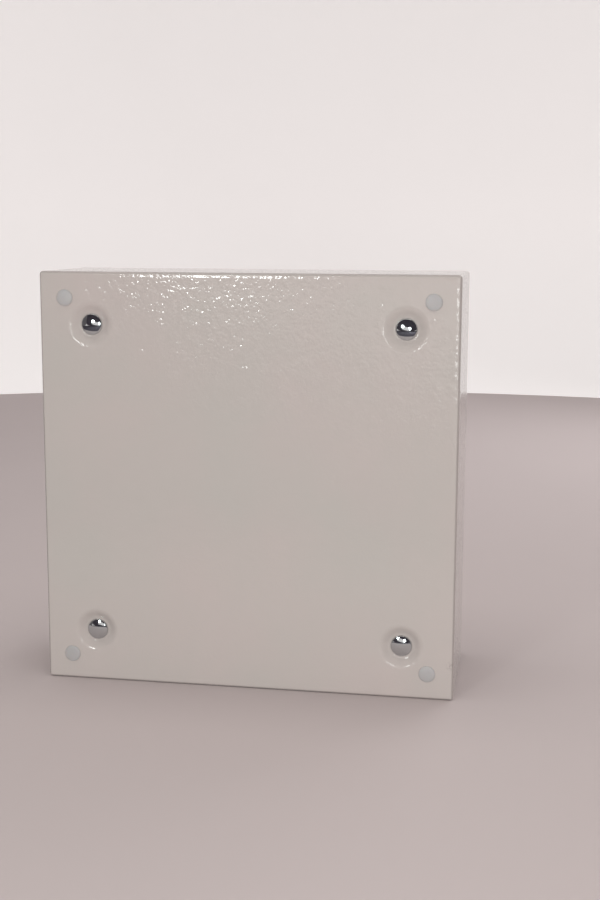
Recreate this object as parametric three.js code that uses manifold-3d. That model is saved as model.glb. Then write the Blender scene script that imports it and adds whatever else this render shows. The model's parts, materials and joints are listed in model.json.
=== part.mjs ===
// DC combiner box: a wall-mounting sheet-steel enclosure with its fuses, surge protector
// and switch-disconnector. Millimetres, +Z up. The door faces -Y and the rear panel +Y.
// The origin is the bottom centre of the whole box.

import * as THREE from 'three';
import { mergeVertices } from 'three/addons/utils/BufferGeometryUtils.js';
import Module from 'manifold-3d';

const wasm = await Module();
wasm.setup();

// ---- Driving dimensions ----

const WIDTH = 400;
const HEIGHT = 400;
const DEPTH = 150;
const SHEET = 1.5;
const BEND = 3; // outside radius of a folded edge
const CORNER = 3.5; // radius of a panel's corner, seen face on
const GAP = 0.3; // clearance between pieces that touch
const ROUND = 20; // sides of the larger round faces

const REAR_Y = DEPTH / 2;
const FRONT_Y = -DEPTH / 2;
const PROUD = 1.8; // how far the lock stands out in front and the plugs behind

const DOOR_DEPTH = 18;
const DOOR_GAP = 2.5; // between the door's edge and the case
const DOOR_INSET = 1; // the door is this much smaller than the case, all round
const DOOR_SKIN_Y = FRONT_Y + SHEET;
const SHOULDER_Y = FRONT_Y + DOOR_DEPTH + DOOR_GAP;
const LIP_INSET = 18.5; // from the case's side to the sealing lip's outer face
const LIP_HEIGHT = 11;
const GASKET_WIDTH = 9;

const BOLT_PITCH = 300;
const DISH_RIM = 22.8;
const DISH_FLOOR = 10.9;
const DISH_DEPTH = 5;
const DISH_EASE = 1.25; // above 1, the pressed wall is steepest near its foot
const BOLT_HEAD = 10.25; // radius
const BOLT_CROWN = 3.6; // height of the head at its middle
const BOLT_RADIUS = 4;
const BOLT_LENGTH = 27;
const NECK = 8; // square under the bolt's head
const BOLT_BORE = 4.4;
const HEX_ACROSS = 13;

const PLUG_PITCH = 350;
const PLUG_HOLE = 5;
const PLUG_HEAD = 7.8;

const PLATE_SIZE = 350;
const PLATE_THICK = 2;
const PLATE_FRONT_Y = 54;
const PLATE_BACK_Y = PLATE_FRONT_Y + PLATE_THICK;

const RAIL_HEIGHT = 7.5;
const RAIL_LENGTH = 300;
const RAIL_Y = PLATE_FRONT_Y - RAIL_HEIGHT; // the rail's front face
const RAIL_HALF = 17.5;
const UPPER_RAIL_Z = 275;
const LOWER_RAIL_Z = 125;

const ENTRY = { x: 140, yLow: -35, yHigh: 45 }; // opening in the bottom of the case
const ENTRY_RIM = 12; // how far the entry plate laps over the opening's edge
const ENTRY_COUNT = 5;
const ENTRY_PITCH = 54;
const CUP = { outer: 18, inner: 15, low: 1.6, floor: 2.8 };

const HINGE_X = -193.5;
const HINGE_Y = -66.5;
const HINGE_ZS = { lower: 80, upper: 320 };
const PIN_RADIUS = 2.4;
const PIN_HEAD = 3.6;
const PIN_BORE = 2.75;
const KNUCKLE = 4.3;
const EAR = 4; // radius of the door leaf's two ears
// Half lengths along the hinge's axis, measured from its middle.
const HINGE_HALF = { knuckle: 8, ear: 2.5, earMiddle: 11.5, leaf: 14, foot: 15, pin: 16, notch: 19 };

const LOCK_X = 162;
const LOCK_Z = 200;
const LOCK_BARREL = 9.6;
const LOCK_BARREL_BACK = -54;
const LOCK_FLANGE = 13;
const LOCK_NUT_ACROSS = 22;
const LOCK_ROTOR = 6;
const KEYWAY = { radius: 4.2, depth: 9, pin: 1.5 };
const CAM_HUB = 9;
const CAM_HALF_WIDTH = 7;
const CAM_REACH = 30;
const CAM_THICK = 3;
const CAM_GAP = 1.9; // between the cam and the shoulder that it closes behind

const MODULE = 18; // width of one rail-mounted module
const FUSE_XS = [-95, -77, -45, -27];
const FUSE_HALF = 38;
const SLOT_HALF = 27;
const CARRIER_PIVOT = { u: 44, v: -20 };
const CARRIER_SWING = 45;
const CARRIER_WIDTH = 13;
const FUSE_U = 27;
const FUSE_RADIUS = 5.15;
const FUSE_LENGTH = 38;

const SURGE_X = 60;
const SURGE_HALF = 45;
const SURGE_SEAT = 24.5;
const SWITCH_X = -61;
const SWITCH_HALF = 43;
const SWITCH_WIDTH = 72;
const SWITCH_TERMINAL = 30.5; // from the switch's middle to its terminals

const TERMINAL_U = 20; // terminals lie this far in front of the rail
const TERMINAL_DEPTH = 10;
const TERMINAL_Y = RAIL_Y - TERMINAL_U;
const WIRE_RADIUS = 2.8;
const FEED_OFFSET = 5.5; // from a feed block's middle to its two wire holes

const EARTH = { x: 94, length: 84, y: 35, z: 61, size: 10, pitch: 15 };

// ---- Colours ----

const FINISHES = {
  paint: { color: 0xb5aca6, roughness: 0.45, metalness: 0 },
  chrome: { color: 0xd8d8da, roughness: 0.08, metalness: 1 },
  zinc: { color: 0xb9bcc0, roughness: 0.4, metalness: 1 },
  copper: { color: 0xb87348, roughness: 0.35, metalness: 1 },
  brass: { color: 0xc9a24e, roughness: 0.35, metalness: 1 },
  plug: { color: 0xb0adab, roughness: 0.35, metalness: 0 },
  foam: { color: 0x2c2c2c, roughness: 0.95, metalness: 0 },
  rubber: { color: 0x3a3b3d, roughness: 0.8, metalness: 0 },
  housing: { color: 0xd9d8d2, roughness: 0.5, metalness: 0 },
  carrier: { color: 0x9b9c9e, roughness: 0.5, metalness: 0 },
  cartridge: { color: 0x8a2f2a, roughness: 0.45, metalness: 0 },
  ceramic: { color: 0xece6da, roughness: 0.5, metalness: 0 },
  black: { color: 0x222325, roughness: 0.5, metalness: 0 },
  red: { color: 0xa3231d, roughness: 0.5, metalness: 0 },
  green: { color: 0x5d8c2a, roughness: 0.5, metalness: 0 },
};

// ---- Solids ----

const model = new THREE.Group();

function solid(geometry) {
  const bare = geometry.index ? geometry.toNonIndexed() : geometry.clone();
  bare.deleteAttribute('normal');
  bare.deleteAttribute('uv');
  const merged = mergeVertices(bare, 1e-4);
  return new wasm.Manifold(
    new wasm.Mesh({
      numProp: 3,
      vertProperties: new Float32Array(merged.attributes.position.array),
      triVerts: new Uint32Array(merged.index.array),
    }),
  );
}

function add(name, shape, finish) {
  const mesh = shape.getMesh();
  const geometry = new THREE.BufferGeometry();
  geometry.setAttribute('position', new THREE.BufferAttribute(mesh.vertProperties, 3));
  geometry.setIndex(new THREE.BufferAttribute(mesh.triVerts, 1));
  geometry.computeVertexNormals();
  const node = new THREE.Mesh(geometry, new THREE.MeshStandardMaterial(FINISHES[finish]));
  node.name = name;
  model.add(node);
}

function box([x0, x1], [y0, y1], [z0, z1]) {
  const geometry = new THREE.BoxGeometry(x1 - x0, y1 - y0, z1 - z0);
  geometry.translate((x0 + x1) / 2, (y0 + y1) / 2, (z0 + z1) / 2);
  return solid(geometry);
}

function about(middle, half) {
  return [middle - half, middle + half];
}

// A cylinder along an axis, from low to high, through the point (a, b) of the other two axes.
function rod(axis, radius, [low, high], [a, b], segments = 12) {
  const geometry = new THREE.CylinderGeometry(radius, radius, high - low, segments);
  const middle = (low + high) / 2;
  if (axis === 'x') {
    geometry.rotateZ(Math.PI / 2);
    geometry.translate(middle, a, b);
  } else if (axis === 'y') {
    geometry.translate(a, middle, b);
  } else {
    geometry.rotateX(Math.PI / 2);
    geometry.translate(a, b, middle);
  }
  return solid(geometry);
}

// A hexagonal prism along Y.
function hexagon(across, [low, high], [x, z]) {
  return rod('y', across / 2 / Math.cos(Math.PI / 6), [low, high], [x, z], 6);
}

// A profile of [radius, y] points turned about a line along Y through (x, z).
function turned(profile, [x, z], segments) {
  const points = profile.map(([radius, y]) => new THREE.Vector2(radius, y));
  const geometry = new THREE.LatheGeometry(points, segments);
  geometry.translate(x, 0, z);
  const shape = solid(geometry);
  return shape.volume() > 0 ? shape : turned([...profile].reverse(), [x, z], segments);
}

// An outline of [y, z] points pushed along X.
function pushedX(outline, [x0, x1]) {
  const shape = new THREE.Shape(outline.map(([y, z]) => new THREE.Vector2(y, z)));
  const geometry = new THREE.ExtrudeGeometry(shape, { depth: x1 - x0, bevelEnabled: false });
  const turn = new THREE.Matrix4().makeBasis(
    new THREE.Vector3(0, 1, 0),
    new THREE.Vector3(0, 0, 1),
    new THREE.Vector3(1, 0, 0),
  );
  geometry.applyMatrix4(turn);
  geometry.translate(x0, 0, 0);
  return solid(geometry);
}

function roundedRectangle(width, height, radius) {
  const w = width / 2;
  const h = height / 2;
  const shape = new THREE.Shape();
  shape.moveTo(-w + radius, -h);
  shape.lineTo(w - radius, -h);
  shape.absarc(w - radius, -h + radius, radius, -Math.PI / 2, 0);
  shape.lineTo(w, h - radius);
  shape.absarc(w - radius, h - radius, radius, 0, Math.PI / 2);
  shape.lineTo(-w + radius, h);
  shape.absarc(-w + radius, h - radius, radius, Math.PI / 2, Math.PI);
  shape.lineTo(-w, -h + radius);
  shape.absarc(-w + radius, -h + radius, radius, Math.PI, Math.PI * 1.5);
  return shape;
}

// A panel-shaped block, centred on the case, between two y. Its two ends are rounded by bend.
function panel(width, height, radius, [y0, y1], bend = 0) {
  const geometry = new THREE.ExtrudeGeometry(roundedRectangle(width, height, radius), {
    depth: y1 - y0 - 2 * bend,
    curveSegments: 2,
    bevelEnabled: bend > 0,
    bevelThickness: bend,
    bevelSize: bend,
    bevelOffset: -bend,
    bevelSegments: 2,
  });
  geometry.rotateX(Math.PI / 2);
  geometry.translate(0, y1 - bend, HEIGHT / 2);
  return solid(geometry);
}

// The four places of a square pattern on the rear panel: below left, below right, above left,
// above right, as [x, z].
function fourPlaces(pitch) {
  const places = [];
  for (const z of about(HEIGHT / 2, pitch / 2)) {
    for (const x of about(0, pitch / 2)) {
      places.push([x, z]);
    }
  }
  return places;
}

// ---- Case ----

// The pressed wall of a dished recess, from its rim to its flat floor, as [radius, y] points.
function dishWall(outset, shift) {
  const steps = 4;
  const wall = [];
  for (let i = 0; i <= steps; i += 1) {
    const t = i / steps;
    const radius = DISH_RIM + outset + t * (DISH_FLOOR - DISH_RIM);
    const drop = (DISH_DEPTH * (1 - Math.cos(Math.PI * t ** DISH_EASE))) / 2;
    wall.push([radius, REAR_Y - shift - drop]);
  }
  return wall;
}

function dishBody(place) {
  const wall = dishWall(SHEET / 2, SHEET);
  const top = REAR_Y - SHEET / 2;
  return turned([[0, top], [wall[0][0], top], ...wall, [0, wall.at(-1)[1]]], place, ROUND);
}

function dishHollow(place) {
  const wall = dishWall(0, 0);
  const top = REAR_Y + 1;
  return turned([[0, top], [wall[0][0], top], ...wall, [0, wall.at(-1)[1]]], place, ROUND);
}

function makeCase() {
  const inside = WIDTH - 2 * SHEET;
  const lipOuter = WIDTH - 2 * LIP_INSET;
  const lipInner = lipOuter - 2 * SHEET;
  const lip = [SHOULDER_Y - LIP_HEIGHT, SHOULDER_Y + SHEET / 2];
  let shell = panel(WIDTH, HEIGHT, CORNER, [SHOULDER_Y, REAR_Y], BEND);
  shell = shell.subtract(
    panel(inside, inside, CORNER - SHEET, [SHOULDER_Y + SHEET, REAR_Y - SHEET], BEND - SHEET),
  );
  shell = shell.add(panel(lipOuter, lipOuter, CORNER, lip));
  shell = shell.subtract(panel(lipInner, lipInner, CORNER - SHEET, [lip[0] - 1, lip[1] + 2]));
  for (const place of fourPlaces(BOLT_PITCH)) {
    shell = shell.add(dishBody(place)).subtract(dishHollow(place));
    const half = NECK / 2 + GAP;
    const through = [REAR_Y - 2 * DISH_DEPTH, REAR_Y];
    shell = shell.subtract(box(about(place[0], half), through, about(place[1], half)));
  }
  for (const place of fourPlaces(PLUG_PITCH)) {
    shell = shell.subtract(rod('y', PLUG_HOLE, [REAR_Y - 3, REAR_Y + 1], place));
  }
  const entry = [ENTRY.yLow, ENTRY.yHigh];
  shell = shell.subtract(box(about(0, ENTRY.x), entry, [-1, 2 * SHEET]));
  add('case', shell, 'paint');
}

function makeBolts() {
  const base = REAR_Y - DISH_DEPTH + 0.2;
  const rim = 0.6; // height of the head's straight edge
  const rise = BOLT_CROWN - rim;
  const sphere = (BOLT_HEAD ** 2 + rise ** 2) / (2 * rise);
  const steps = 4;
  fourPlaces(BOLT_PITCH).forEach((place, i) => {
    const profile = [[0, base], [BOLT_HEAD, base]];
    for (let j = 0; j < steps; j += 1) {
      const radius = BOLT_HEAD * (1 - j / steps);
      const drop = sphere - Math.sqrt(sphere ** 2 - radius ** 2);
      profile.push([radius, base + BOLT_CROWN - drop]);
    }
    profile.push([0, base + BOLT_CROWN]);
    const neck = box(about(place[0], NECK / 2), [base - NECK / 2, base + 1], about(place[1], NECK / 2));
    const shank = rod('y', BOLT_RADIUS, [base - BOLT_LENGTH, base + 1], place);
    add(`mounting_bolt_${i + 1}`, turned(profile, place, ROUND).add(neck).add(shank), 'chrome');
  });
}

function makePlateFasteners() {
  const floorBack = REAR_Y - DISH_DEPTH - SHEET;
  const washer = 1.6;
  const flangeRadius = 9;
  const nutFront = PLATE_FRONT_Y - 8;
  fourPlaces(BOLT_PITCH).forEach((place, i) => {
    const bore = rod('y', BOLT_BORE, [PLATE_FRONT_Y - 20, floorBack + 5], place);
    const spacer = hexagon(HEX_ACROSS, [PLATE_BACK_Y + GAP, floorBack - GAP], place);
    const flange = rod('y', flangeRadius, [PLATE_FRONT_Y - GAP - washer, PLATE_FRONT_Y - GAP], place, 16);
    const nut = hexagon(HEX_ACROSS, [nutFront, PLATE_FRONT_Y - 1], place);
    const neckHalf = NECK / 2 + GAP;
    const neckSpan = [REAR_Y - 2 * DISH_DEPTH, floorBack + DISH_DEPTH];
    const neckHole = box(about(place[0], neckHalf), neckSpan, about(place[1], neckHalf));
    add(`spacer_${i + 1}`, spacer.subtract(bore).subtract(neckHole), 'zinc');
    add(`plate_nut_${i + 1}`, nut.add(flange).subtract(bore), 'zinc');
  });
}

function makeWallPlugs() {
  const seat = REAR_Y + 0.1;
  const skin = REAR_Y - SHEET;
  const profile = [
    [0, skin - 4],
    [PLUG_HOLE - 1, skin - 4],
    [PLUG_HOLE + 0.4, skin - GAP],
    [PLUG_HOLE - GAP, skin - GAP],
    [PLUG_HOLE - GAP, seat],
    [PLUG_HEAD, seat],
    [PLUG_HEAD - 0.8, seat + 0.9],
    [PLUG_HEAD / 2, seat + 1.5],
    [0, REAR_Y + PROUD],
  ];
  fourPlaces(PLUG_PITCH).forEach((place, i) => {
    add(`wall_plug_${i + 1}`, turned(profile, place, 16), 'plug');
  });
}

function makeMountingPlate() {
  let plate = panel(PLATE_SIZE, PLATE_SIZE, 6, [PLATE_FRONT_Y, PLATE_BACK_Y]);
  for (const place of fourPlaces(BOLT_PITCH)) {
    plate = plate.subtract(rod('y', BOLT_BORE, [PLATE_FRONT_Y - 1, PLATE_BACK_Y + 1], place));
  }
  add('mounting_plate', plate, 'zinc');
}

// ---- Cable entry ----

function frameOnFloor(lap, [z0, z1], cut) {
  const outer = box(about(0, ENTRY.x + lap), [ENTRY.yLow - lap, ENTRY.yHigh + lap], [z0, z1]);
  if (cut === 0) return outer;
  const inner = box(
    about(0, ENTRY.x + cut),
    [ENTRY.yLow - cut, ENTRY.yHigh + cut],
    [z0 - 1, z1 + 1],
  );
  return outer.subtract(inner);
}

function makeCableEntry() {
  const gasketTop = SHEET + GAP + 2;
  const under = gasketTop + GAP;
  const thick = 3;
  const middle = (ENTRY.yLow + ENTRY.yHigh) / 2;
  add('entry_gasket', frameOnFloor(ENTRY_RIM, [SHEET + GAP, gasketTop], 2), 'foam');
  let plate = frameOnFloor(ENTRY_RIM - 1, [under, under + thick], 0);
  for (let i = 0; i < ENTRY_COUNT; i += 1) {
    const x = (i - (ENTRY_COUNT - 1) / 2) * ENTRY_PITCH;
    plate = plate.add(rod('z', CUP.outer, [CUP.low, under + 1], [x, middle]));
    plate = plate.subtract(rod('z', CUP.inner, [CUP.floor, under + thick + 1], [x, middle]));
  }
  add('entry_plate', plate, 'rubber');
}

// ---- Door, hinges and lock ----

function makeDoor() {
  const size = WIDTH - 2 * DOOR_INSET;
  const back = FRONT_Y + DOOR_DEPTH;
  let door = panel(size, size, CORNER, [FRONT_Y, back + 2 * BEND], BEND);
  const inside = size - 2 * SHEET;
  door = door.subtract(
    panel(inside, inside, CORNER - SHEET, [DOOR_SKIN_Y, back + 4 * BEND], BEND - SHEET),
  );
  door = door.subtract(box(about(0, WIDTH), [back, back + 20], [-10, HEIGHT + 10]));
  const lockHole = [FRONT_Y - 1, DOOR_SKIN_Y + 1];
  door = door.subtract(rod('y', LOCK_BARREL + GAP, lockHole, [LOCK_X, LOCK_Z], 16));
  for (const z of Object.values(HINGE_ZS)) {
    const notch = [FRONT_Y + BEND + 1, back + 1];
    const cut = [-WIDTH / 2 - 1, -WIDTH / 2 + 6];
    door = door.subtract(box(cut, notch, about(z, HINGE_HALF.notch)));
  }
  add('door', door, 'paint');
}

function makeDoorGasket() {
  const lipMiddle = WIDTH - 2 * LIP_INSET - SHEET;
  const span = [DOOR_SKIN_Y + GAP, SHOULDER_Y - LIP_HEIGHT - GAP];
  const outer = panel(lipMiddle + GASKET_WIDTH, lipMiddle + GASKET_WIDTH, 8, span);
  const inner = panel(lipMiddle - GASKET_WIDTH, lipMiddle - GASKET_WIDTH, 4, [span[0] - 1, span[1] + 1]);
  add('door_gasket', outer.subtract(inner), 'foam');
}

function makeHinges() {
  const at = [HINGE_X, HINGE_Y];
  const foot = SHOULDER_Y - GAP;
  const leafY = DOOR_SKIN_Y + GAP;
  const webHalf = 1.5;
  const half = HINGE_HALF;
  for (const [name, z] of Object.entries(HINGE_ZS)) {
    const bore = rod('z', PIN_BORE, about(z, 2 * half.leaf), at);
    const web = box(about(HINGE_X, webHalf), [HINGE_Y, foot], about(z, half.knuckle));
    const footPlate = box([HINGE_X - webHalf, HINGE_X + 7.2], [foot - 2, foot], about(z, half.foot));
    const knuckle = rod('z', KNUCKLE, about(z, half.knuckle), at);
    add(`hinge_bracket_${name}`, web.add(footPlate).add(knuckle).subtract(bore), 'zinc');

    const leafThick = 1.8;
    let leaf = box([HINGE_X - 3, HINGE_X + 4.5], [leafY, leafY + leafThick], about(z, half.leaf));
    for (const side of [-1, 1]) {
      const ear = about(z + side * half.earMiddle, half.ear);
      leaf = leaf.add(box(about(HINGE_X, EAR - 1), [leafY, HINGE_Y], ear));
      leaf = leaf.add(rod('z', EAR, ear, at));
    }
    add(`door_leaf_${name}`, leaf.subtract(bore), 'zinc');

    const pin = rod('z', PIN_RADIUS, about(z, half.pin), at);
    const headBase = z + half.earMiddle + half.ear + 0.4;
    const head = rod('z', PIN_HEAD, [headBase, headBase + 2], at);
    add(`hinge_pin_${name}`, pin.add(head), 'zinc');
  }
}

function makeLock() {
  const place = [LOCK_X, LOCK_Z];
  const front = FRONT_Y - PROUD;
  const collar = FRONT_Y - 0.1;
  const bore = rod('y', LOCK_ROTOR + GAP, [front - 1, LOCK_BARREL_BACK + 1], place, 16);
  const flange = turned(
    [
      [0, collar],
      [LOCK_FLANGE, collar],
      [LOCK_FLANGE, collar - 0.9],
      [LOCK_FLANGE - 0.8, front],
      [0, front],
    ],
    place,
    16,
  );
  const barrel = rod('y', LOCK_BARREL, [collar - 0.5, LOCK_BARREL_BACK], place, 16);
  add('lock_barrel', barrel.add(flange).subtract(bore), 'zinc');

  const nutThick = 5;
  const nutSpan = [DOOR_SKIN_Y + GAP, DOOR_SKIN_Y + GAP + nutThick];
  const nutBore = rod('y', LOCK_BARREL + GAP, [nutSpan[0] - 1, nutSpan[1] + 1], place, 16);
  add('lock_nut', hexagon(LOCK_NUT_ACROSS, nutSpan, place).subtract(nutBore), 'zinc');

  const camFront = SHOULDER_Y + SHEET + CAM_GAP;
  const camBack = camFront + CAM_THICK;
  const square = 3.4; // half the side of the rotor's square end
  const squareSpan = [LOCK_BARREL_BACK, camBack + 1.5];
  let rotor = rod('y', LOCK_ROTOR, [FRONT_Y + 1, LOCK_BARREL_BACK + 0.5], place, 16);
  rotor = rotor.add(box(about(LOCK_X, square), squareSpan, about(LOCK_Z, square)));
  const keyway = rod('y', KEYWAY.radius, [front - 1, FRONT_Y + KEYWAY.depth], place);
  const keyPin = rod('y', KEYWAY.pin, [FRONT_Y + 2, FRONT_Y + KEYWAY.depth + 0.5], place, 8);
  add('lock_rotor', rotor.subtract(keyway).add(keyPin), 'zinc');

  const hole = square + 0.25;
  const arm = [LOCK_Z - CAM_REACH, LOCK_Z];
  let cam = rod('y', CAM_HUB, [camFront, camBack], place, 16);
  cam = cam.add(box(about(LOCK_X, CAM_HALF_WIDTH), [camFront, camBack], arm));
  cam = cam.subtract(box(about(LOCK_X, hole), [camFront - 1, camBack + 1], about(LOCK_Z, hole)));
  add('lock_cam', cam, 'zinc');
}

// ---- Rail-mounted gear ----

function makeRails() {
  const brim = RAIL_HALF;
  const crown = 13.5;
  const thick = 1;
  const back = PLATE_FRONT_Y - GAP;
  for (const [name, z] of [['upper', UPPER_RAIL_Z], ['lower', LOWER_RAIL_Z]]) {
    const half = [
      [RAIL_Y, brim],
      [RAIL_Y, crown - thick],
      [back - thick, crown - thick],
    ];
    const outer = [
      [back, crown],
      [RAIL_Y + thick, crown],
      [RAIL_Y + thick, brim],
    ];
    const outline = [
      ...half,
      ...half.toReversed().map(([y, v]) => [y, -v]),
      ...outer.toReversed().map(([y, v]) => [y, -v]),
      ...outer,
    ];
    const placed = outline.map(([y, v]) => [y, z + v]);
    add(`din_rail_${name}`, pushedX(placed, about(0, RAIL_LENGTH / 2)), 'zinc');
  }
}

// The back of a rail-mounted housing, from its bottom to its top, with the two hooks that grip
// the rail. Points are [u, v]: u in front of the rail's face, v above the rail's middle.
function hookedBack(half) {
  const hook = [
    [GAP, half],
    [GAP, RAIL_HALF + 4],
    [-3.5, RAIL_HALF + 4],
    [-3.5, RAIL_HALF - 2.5],
    [-1.4, RAIL_HALF - 2.5],
    [-1.4, RAIL_HALF + GAP],
    [GAP, RAIL_HALF + GAP],
  ];
  return [...hook.map(([u, v]) => [u, -v]), ...hook.toReversed()];
}

// A rail-mounted housing: the hooked back, and a stepped front that is deep only in its middle.
function housing({ half, step, shoulder, nose }, [x0, x1], railZ) {
  const chamfer = 1.5;
  const front = [
    [shoulder - chamfer, half],
    [shoulder, half - chamfer],
    [shoulder, step],
    [nose, step],
  ];
  const outline = [
    ...hookedBack(half),
    ...front,
    ...front.toReversed().map(([u, v]) => [u, -v]),
  ];
  return pushedX(outline.map(([u, v]) => [RAIL_Y - u, railZ + v]), [x0, x1]);
}

// A wire opening in the top (side 1) or bottom (side -1) of a housing, and the hole in front of
// it for the screwdriver.
function terminal(x, railZ, half, shoulder, side) {
  const edge = railZ + side * half;
  const opening = box(
    about(x, 4),
    about(TERMINAL_Y, 4),
    about(edge, TERMINAL_DEPTH),
  );
  const screw = rod('y', 2.8, [RAIL_Y - shoulder - 1, RAIL_Y - shoulder + 9],
    [x, edge - side * 6], 8);
  return opening.add(screw);
}

function makeFuseHolder(x, index) {
  const shape = { half: FUSE_HALF, step: SLOT_HALF, shoulder: 34, nose: 48 };
  const side = MODULE / 2 - 0.25;
  const pivotY = RAIL_Y - CARRIER_PIVOT.u;
  const pivotZ = LOWER_RAIL_Z + CARRIER_PIVOT.v;
  let base = housing(shape, about(x, side), LOWER_RAIL_Z);
  const slot = box(
    about(x, CARRIER_WIDTH / 2 + 0.5),
    [RAIL_Y - 60, RAIL_Y - 8],
    about(LOWER_RAIL_Z, SLOT_HALF),
  );
  base = base.subtract(slot);
  base = base.subtract(rod('x', 2.4, about(x, side + 1), [pivotY, pivotZ], 8));
  for (const end of [-1, 1]) {
    base = base.subtract(terminal(x, LOWER_RAIL_Z, FUSE_HALF, shape.shoulder, end));
  }
  add(`fuse_holder_${index}`, base, 'housing');
}

// The carrier's side view as [u, v] points: a nose round its pivot, a handle in front, and a
// back that stays inside the circle it swings on.
function carrierOutline() {
  const { u, v } = CARRIER_PIVOT;
  const outline = [];
  for (let i = 0; i <= 3; i += 1) {
    const angle = ((i - 3) * Math.PI) / 6;
    outline.push([u + 6 * Math.cos(angle), v + 6 * Math.sin(angle)]);
  }
  outline.push([58, -8], [58, 13], [55, 15]);
  for (let i = 0; i <= 4; i += 1) {
    const angle = THREE.MathUtils.degToRad(81 + i * 9.25);
    outline.push([u + CARRIER_SWING * Math.cos(angle), v + CARRIER_SWING * Math.sin(angle)]);
  }
  outline.push([outline.at(-1)[0], -18], [37, -26]);
  return outline;
}

function makeFuseCarrier(x, index) {
  const place = ([u, v]) => [RAIL_Y - u, LOWER_RAIL_Z + v];
  const pivot = place([CARRIER_PIVOT.u, CARRIER_PIVOT.v]);
  const pocketHalf = FUSE_RADIUS + 0.35;
  let carrier = pushedX(carrierOutline().map(place), about(x, CARRIER_WIDTH / 2));
  carrier = carrier.subtract(
    box(
      about(x, pocketHalf),
      [RAIL_Y - FUSE_U - pocketHalf, RAIL_Y],
      about(LOWER_RAIL_Z, FUSE_LENGTH / 2 + 0.4),
    ),
  );
  carrier = carrier.add(rod('x', 2, about(x, MODULE / 2 - 0.6), pivot, 8));
  add(`fuse_carrier_${index}`, carrier, 'carrier');
}

function makeFuse(x, index) {
  const y = RAIL_Y - FUSE_U;
  const half = FUSE_LENGTH / 2;
  const cap = 10;
  const body = rod('z', FUSE_RADIUS - 0.35, about(LOWER_RAIL_Z, half - 1), [x, y]);
  let fuse = body;
  for (const side of [-1, 1]) {
    const middle = LOWER_RAIL_Z + side * (half - cap / 2);
    fuse = fuse.add(rod('z', FUSE_RADIUS, about(middle, cap / 2), [x, y]));
  }
  add(`fuse_${index}`, fuse, 'ceramic');
}

function makeBusbar(name, [left, right]) {
  const top = LOWER_RAIL_Z + FUSE_HALF;
  const middle = (left + right) / 2;
  let bar = box([left - 6, right + 6], about(TERMINAL_Y, 1), [top + 1, top + 9]);
  for (const x of [left, right]) {
    bar = bar.add(box(about(x, 3), about(TERMINAL_Y, 1), [top - 8, top + 2]));
  }
  bar = bar.add(box(about(middle, 11), about(TERMINAL_Y, 7), [top + 8.5, top + 23]));
  for (const side of [-1, 1]) {
    const x = middle + side * FEED_OFFSET;
    bar = bar.subtract(box(about(x, 3.5), about(TERMINAL_Y, 3.5), [top + 13, top + 30]));
    bar = bar.subtract(rod('y', 2.2, [TERMINAL_Y - 8, TERMINAL_Y - 2], [x, top + 18], 8));
  }
  add(name, bar, 'copper');
}

function makeSurgeProtector() {
  const shape = { half: SURGE_HALF, step: SURGE_SEAT, shoulder: 44, nose: 44 };
  const width = about(SURGE_X, MODULE * 1.5 - 0.25);
  const seat = 20;
  const bladeV = 14;
  let base = housing(shape, width, UPPER_RAIL_Z);
  base = base.subtract(
    box([width[0] - 1, width[1] + 1], [RAIL_Y - 60, RAIL_Y - seat], about(UPPER_RAIL_Z, SURGE_SEAT)),
  );
  for (let i = 0; i < 3; i += 1) {
    const x = SURGE_X + (i - 1) * MODULE;
    for (const side of [-1, 1]) {
      base = base.subtract(terminal(x, UPPER_RAIL_Z, SURGE_HALF, shape.shoulder, side));
      const blade = UPPER_RAIL_Z + side * bladeV;
      base = base.subtract(box(about(x, 1.2), [RAIL_Y - seat - 1, RAIL_Y - 10], about(blade, 4)));
    }
  }
  add('surge_base', base, 'housing');

  for (let i = 0; i < 3; i += 1) {
    const x = SURGE_X + (i - 1) * MODULE;
    const half = SURGE_SEAT - 0.5;
    const side = [
      [seat + 0.4, half],
      [57, half],
      [62, half - 5],
    ];
    const outline = [...side, ...side.toReversed().map(([u, v]) => [u, -v])];
    let cartridge = pushedX(
      outline.map(([u, v]) => [RAIL_Y - u, UPPER_RAIL_Z + v]),
      about(x, MODULE / 2 - 0.4),
    );
    for (const end of [-1, 1]) {
      const blade = about(UPPER_RAIL_Z + end * bladeV, 3.5);
      cartridge = cartridge.add(box(about(x, 0.7), [RAIL_Y - seat - 1, RAIL_Y - 12], blade));
      const grip = about(UPPER_RAIL_Z + end * (half - 1), 1.6);
      cartridge = cartridge.subtract(box(about(x, 5), [RAIL_Y - 56, RAIL_Y - 47], grip));
    }
    const window = about(UPPER_RAIL_Z + 6, 2.5);
    cartridge = cartridge.subtract(box(about(x, 3), [RAIL_Y - 63, RAIL_Y - 61], window));
    add(`surge_cartridge_${i + 1}`, cartridge, 'cartridge');
  }
}

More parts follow.
